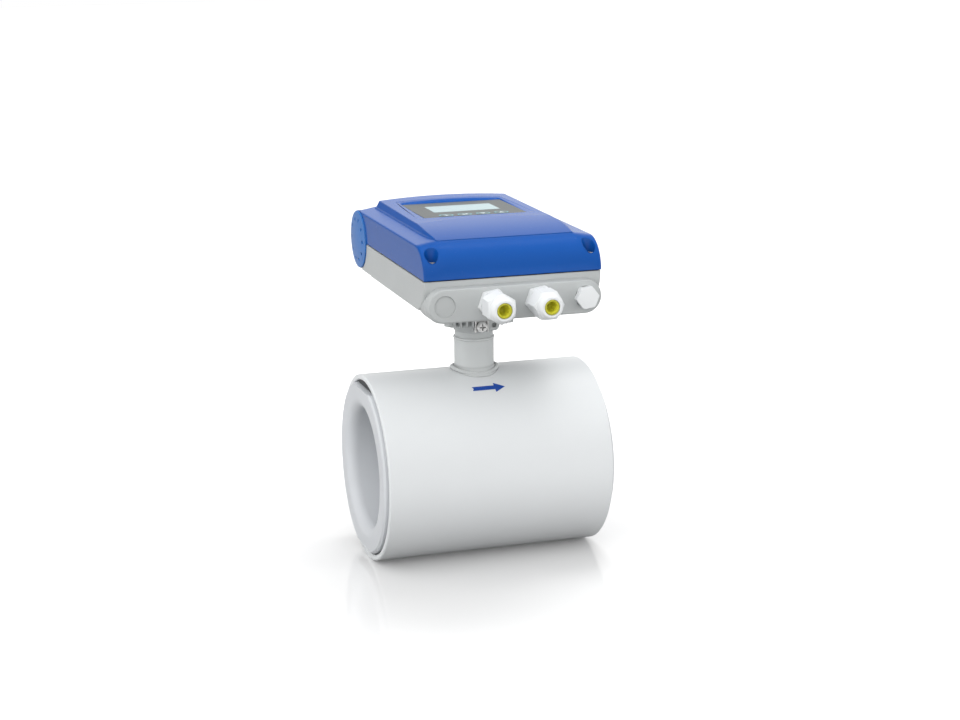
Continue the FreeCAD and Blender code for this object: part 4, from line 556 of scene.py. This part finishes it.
def floor():
    """Pale floor: white for the camera and through glass, half way for mirrored rays."""
    s = FLOOR_REACH
    mesh = bpy.data.meshes.new("floor")
    mesh.from_pydata([(-s, -s, FLOOR_Z), (s, -s, FLOOR_Z), (s, s, FLOOR_Z), (-s, s, FLOOR_Z)],
                     [], [(0, 1, 2, 3)])
    obj = bpy.data.objects.new("floor", mesh)
    bpy.context.scene.collection.objects.link(obj)
    mat = bpy.data.materials.new("floor")
    mat.use_nodes = True
    tree = mat.node_tree
    shader = tree.nodes["Principled BSDF"]

    path = tree.nodes.new("ShaderNodeLightPath")
    shown = add_node(tree, "ShaderNodeMath",
                     {0: path.outputs["Is Camera Ray"], 1: path.outputs["Is Transmission Ray"]},
                     operation="MAXIMUM")
    mirror = add_node(tree, "ShaderNodeMath",
                      {0: path.outputs["Is Glossy Ray"], 1: FLOOR_MIRROR_SHARE,
                       2: shown.outputs["Value"]}, operation="MULTIPLY_ADD")
    tone = add_node(tree, "ShaderNodeMix",
                    {"A": FLOOR_BOUNCE_TONE, "B": FLOOR_TONE, "Factor": mirror.outputs["Value"]},
                    data_type="RGBA")
    tree.links.new(tone.outputs["Result"], shader.inputs["Base Color"])
    shader.inputs["Roughness"].default_value = 0.06
    shine = add_node(tree, "ShaderNodeMapRange", {"To Max": 1.0, "Value": shown.outputs["Value"]})
    tree.links.new(shine.outputs["Result"], shader.inputs["Specular IOR Level"])

    # A small lift toward white that grows with the distance from the object.
    coords = tree.nodes.new("ShaderNodeTexCoord")
    away = add_node(tree, "ShaderNodeVectorMath", {0: coords.outputs["Object"]},
                    operation="LENGTH")
    spread = add_node(tree, "ShaderNodeMapRange",
                      {"From Min": 0.12, "From Max": 0.45, "To Min": 0.05, "To Max": 0.40,
                       "Value": away.outputs["Value"]}, interpolation_type="SMOOTHSTEP")
    lift = add_node(tree, "ShaderNodeMath",
                    {0: shown.outputs["Value"], 1: spread.outputs["Result"]},
                    operation="MULTIPLY")
    shader.inputs["Emission Color"].default_value = (1, 1, 1, 1)
    tree.links.new(lift.outputs["Value"], shader.inputs["Emission Strength"])
    mesh.materials.append(mat)


FILL_TOWARD = (-0.76, -0.47, -0.45)
FILL_MIN = 0.50
FILL_MAX = 2.60
# Height of the mirrored ray's direction, tone of the room there.
FRONT_TONES = ((0.0, 0.12), (0.12, 0.02), (0.30, 0.02), (0.50, 0.12), (0.80, 0.30), (1.0, 0.4))
REAR_TONES = ((0.0, 1.0), (0.28, 1.0), (0.38, 0.75), (0.50, 0.30), (0.80, 0.15), (1.0, 0.4))


def height_ramp(tree, height, steps):
    """Grey tones by the height of the direction."""
    node = add_node(tree, "ShaderNodeValToRGB", {"Fac": height})
    elements = node.color_ramp.elements
    for element, (place, tone) in zip(list(elements), (steps[0], steps[-1])):
        element.position = place
        element.color = (tone, tone, tone, 1)
    for place, tone in steps[1:-1]:
        elements.new(place).color = (tone, tone, tone, 1)
    return node.outputs["Color"]


def studio():
    """The room: white for the camera and through glass.

    The light on the object is strongest from low at the front left. Mirrored rays see a room
    that is white at the rear horizon and dark in front, to the left and above.
    """
    world = bpy.data.worlds.new("studio")
    bpy.context.scene.world = world
    world.use_nodes = True
    tree = world.node_tree
    level = tree.nodes["Background"]
    level.inputs["Color"].default_value = (1, 1, 1, 1)
    direction = tree.nodes.new("ShaderNodeTexCoord").outputs["Generated"]
    toward = add_node(tree, "ShaderNodeVectorMath", {0: direction, 1: FILL_TOWARD},
                      operation="DOT_PRODUCT")
    fill = add_node(tree, "ShaderNodeMapRange",
                    {"From Min": -0.45, "From Max": 0.93, "To Min": FILL_MIN,
                     "To Max": FILL_MAX, "Value": toward.outputs["Value"]})
    tree.links.new(fill.outputs["Result"], level.inputs["Strength"])

    axes = add_node(tree, "ShaderNodeSeparateXYZ", {"Vector": direction})
    rearward = add_node(tree, "ShaderNodeMapRange",
                        {"From Min": -0.2, "From Max": 0.4, "Value": axes.outputs["Y"]},
                        interpolation_type="SMOOTHSTEP")
    blend = add_node(tree, "ShaderNodeMix",
                     {"A": height_ramp(tree, axes.outputs["Z"], FRONT_TONES),
                      "B": height_ramp(tree, axes.outputs["Z"], REAR_TONES),
                      "Factor": rearward.outputs["Result"]}, data_type="RGBA")
    rightward = add_node(tree, "ShaderNodeMapRange",
                         {"From Min": -0.35, "From Max": 0.20, "To Min": 0.12,
                          "Value": axes.outputs["X"]}, interpolation_type="SMOOTHSTEP")
    mirrored = add_node(tree, "ShaderNodeBackground",
                        {"Color": blend.outputs["Result"],
                         "Strength": rightward.outputs["Result"]})
    seen = add_node(tree, "ShaderNodeBackground", {"Color": (1, 1, 1, 1)})

    path = tree.nodes.new("ShaderNodeLightPath")
    gloss = add_node(tree, "ShaderNodeMixShader",
                     {"Fac": path.outputs["Is Glossy Ray"], 1: level.outputs["Background"],
                      2: mirrored.outputs["Background"]})
    shown = add_node(tree, "ShaderNodeMath",
                     {0: path.outputs["Is Camera Ray"], 1: path.outputs["Is Transmission Ray"]},
                     operation="MAXIMUM")
    view = add_node(tree, "ShaderNodeMixShader",
                    {"Fac": shown.outputs["Value"], 1: gloss.outputs["Shader"],
                     2: seen.outputs["Background"]})
    tree.links.new(view.outputs["Shader"], tree.nodes["World Output"].inputs["Surface"])


def area_light(name, place, size, power):
    """A soft lamp aimed at the middle of the object and not seen in reflections."""
    data = bpy.data.lights.new(name, "AREA")
    data.shape = "RECTANGLE"
    data.size, data.size_y = size
    data.energy = power
    obj = bpy.data.objects.new(name, data)
    obj.location = place
    aim_at = Vector((0, 0, 0.05))
    obj.rotation_euler = (aim_at - Vector(place)).to_track_quat("-Z", "Y").to_euler()
    obj.visible_glossy = False
    bpy.context.scene.collection.objects.link(obj)


floor()
studio()
area_light("overhead", (0.30, 0.38, 1.25), (0.7, 0.6), 8.5)
area_light("front", (1.5, -1.1, 0.5), (0.9, 0.7), 8)

# Camera, fitted to the photo
SENSOR_WIDTH = 36.0
FOCAL_PIXELS = 1995
IMAGE_WIDTH = 960
EYE = Vector((-0.4912, -1.5715, 0.4816))
AIM = Vector((0.0053, 0, 0.0848))
ROLL_DEGREES = -0.55

camera = bpy.data.cameras.new("camera")
camera.sensor_width = SENSOR_WIDTH
camera.lens = SENSOR_WIDTH * FOCAL_PIXELS / IMAGE_WIDTH
rig = bpy.data.objects.new("camera", camera)
roll = Matrix.Rotation(math.radians(ROLL_DEGREES), 3, "Z")
turn = (AIM - EYE).to_track_quat("-Z", "Y").to_matrix() @ roll
rig.matrix_world = Matrix.Translation(EYE) @ turn.to_4x4()
bpy.context.scene.collection.objects.link(rig)
bpy.context.scene.camera = rig
bpy.context.scene.view_settings.view_transform = "Standard"
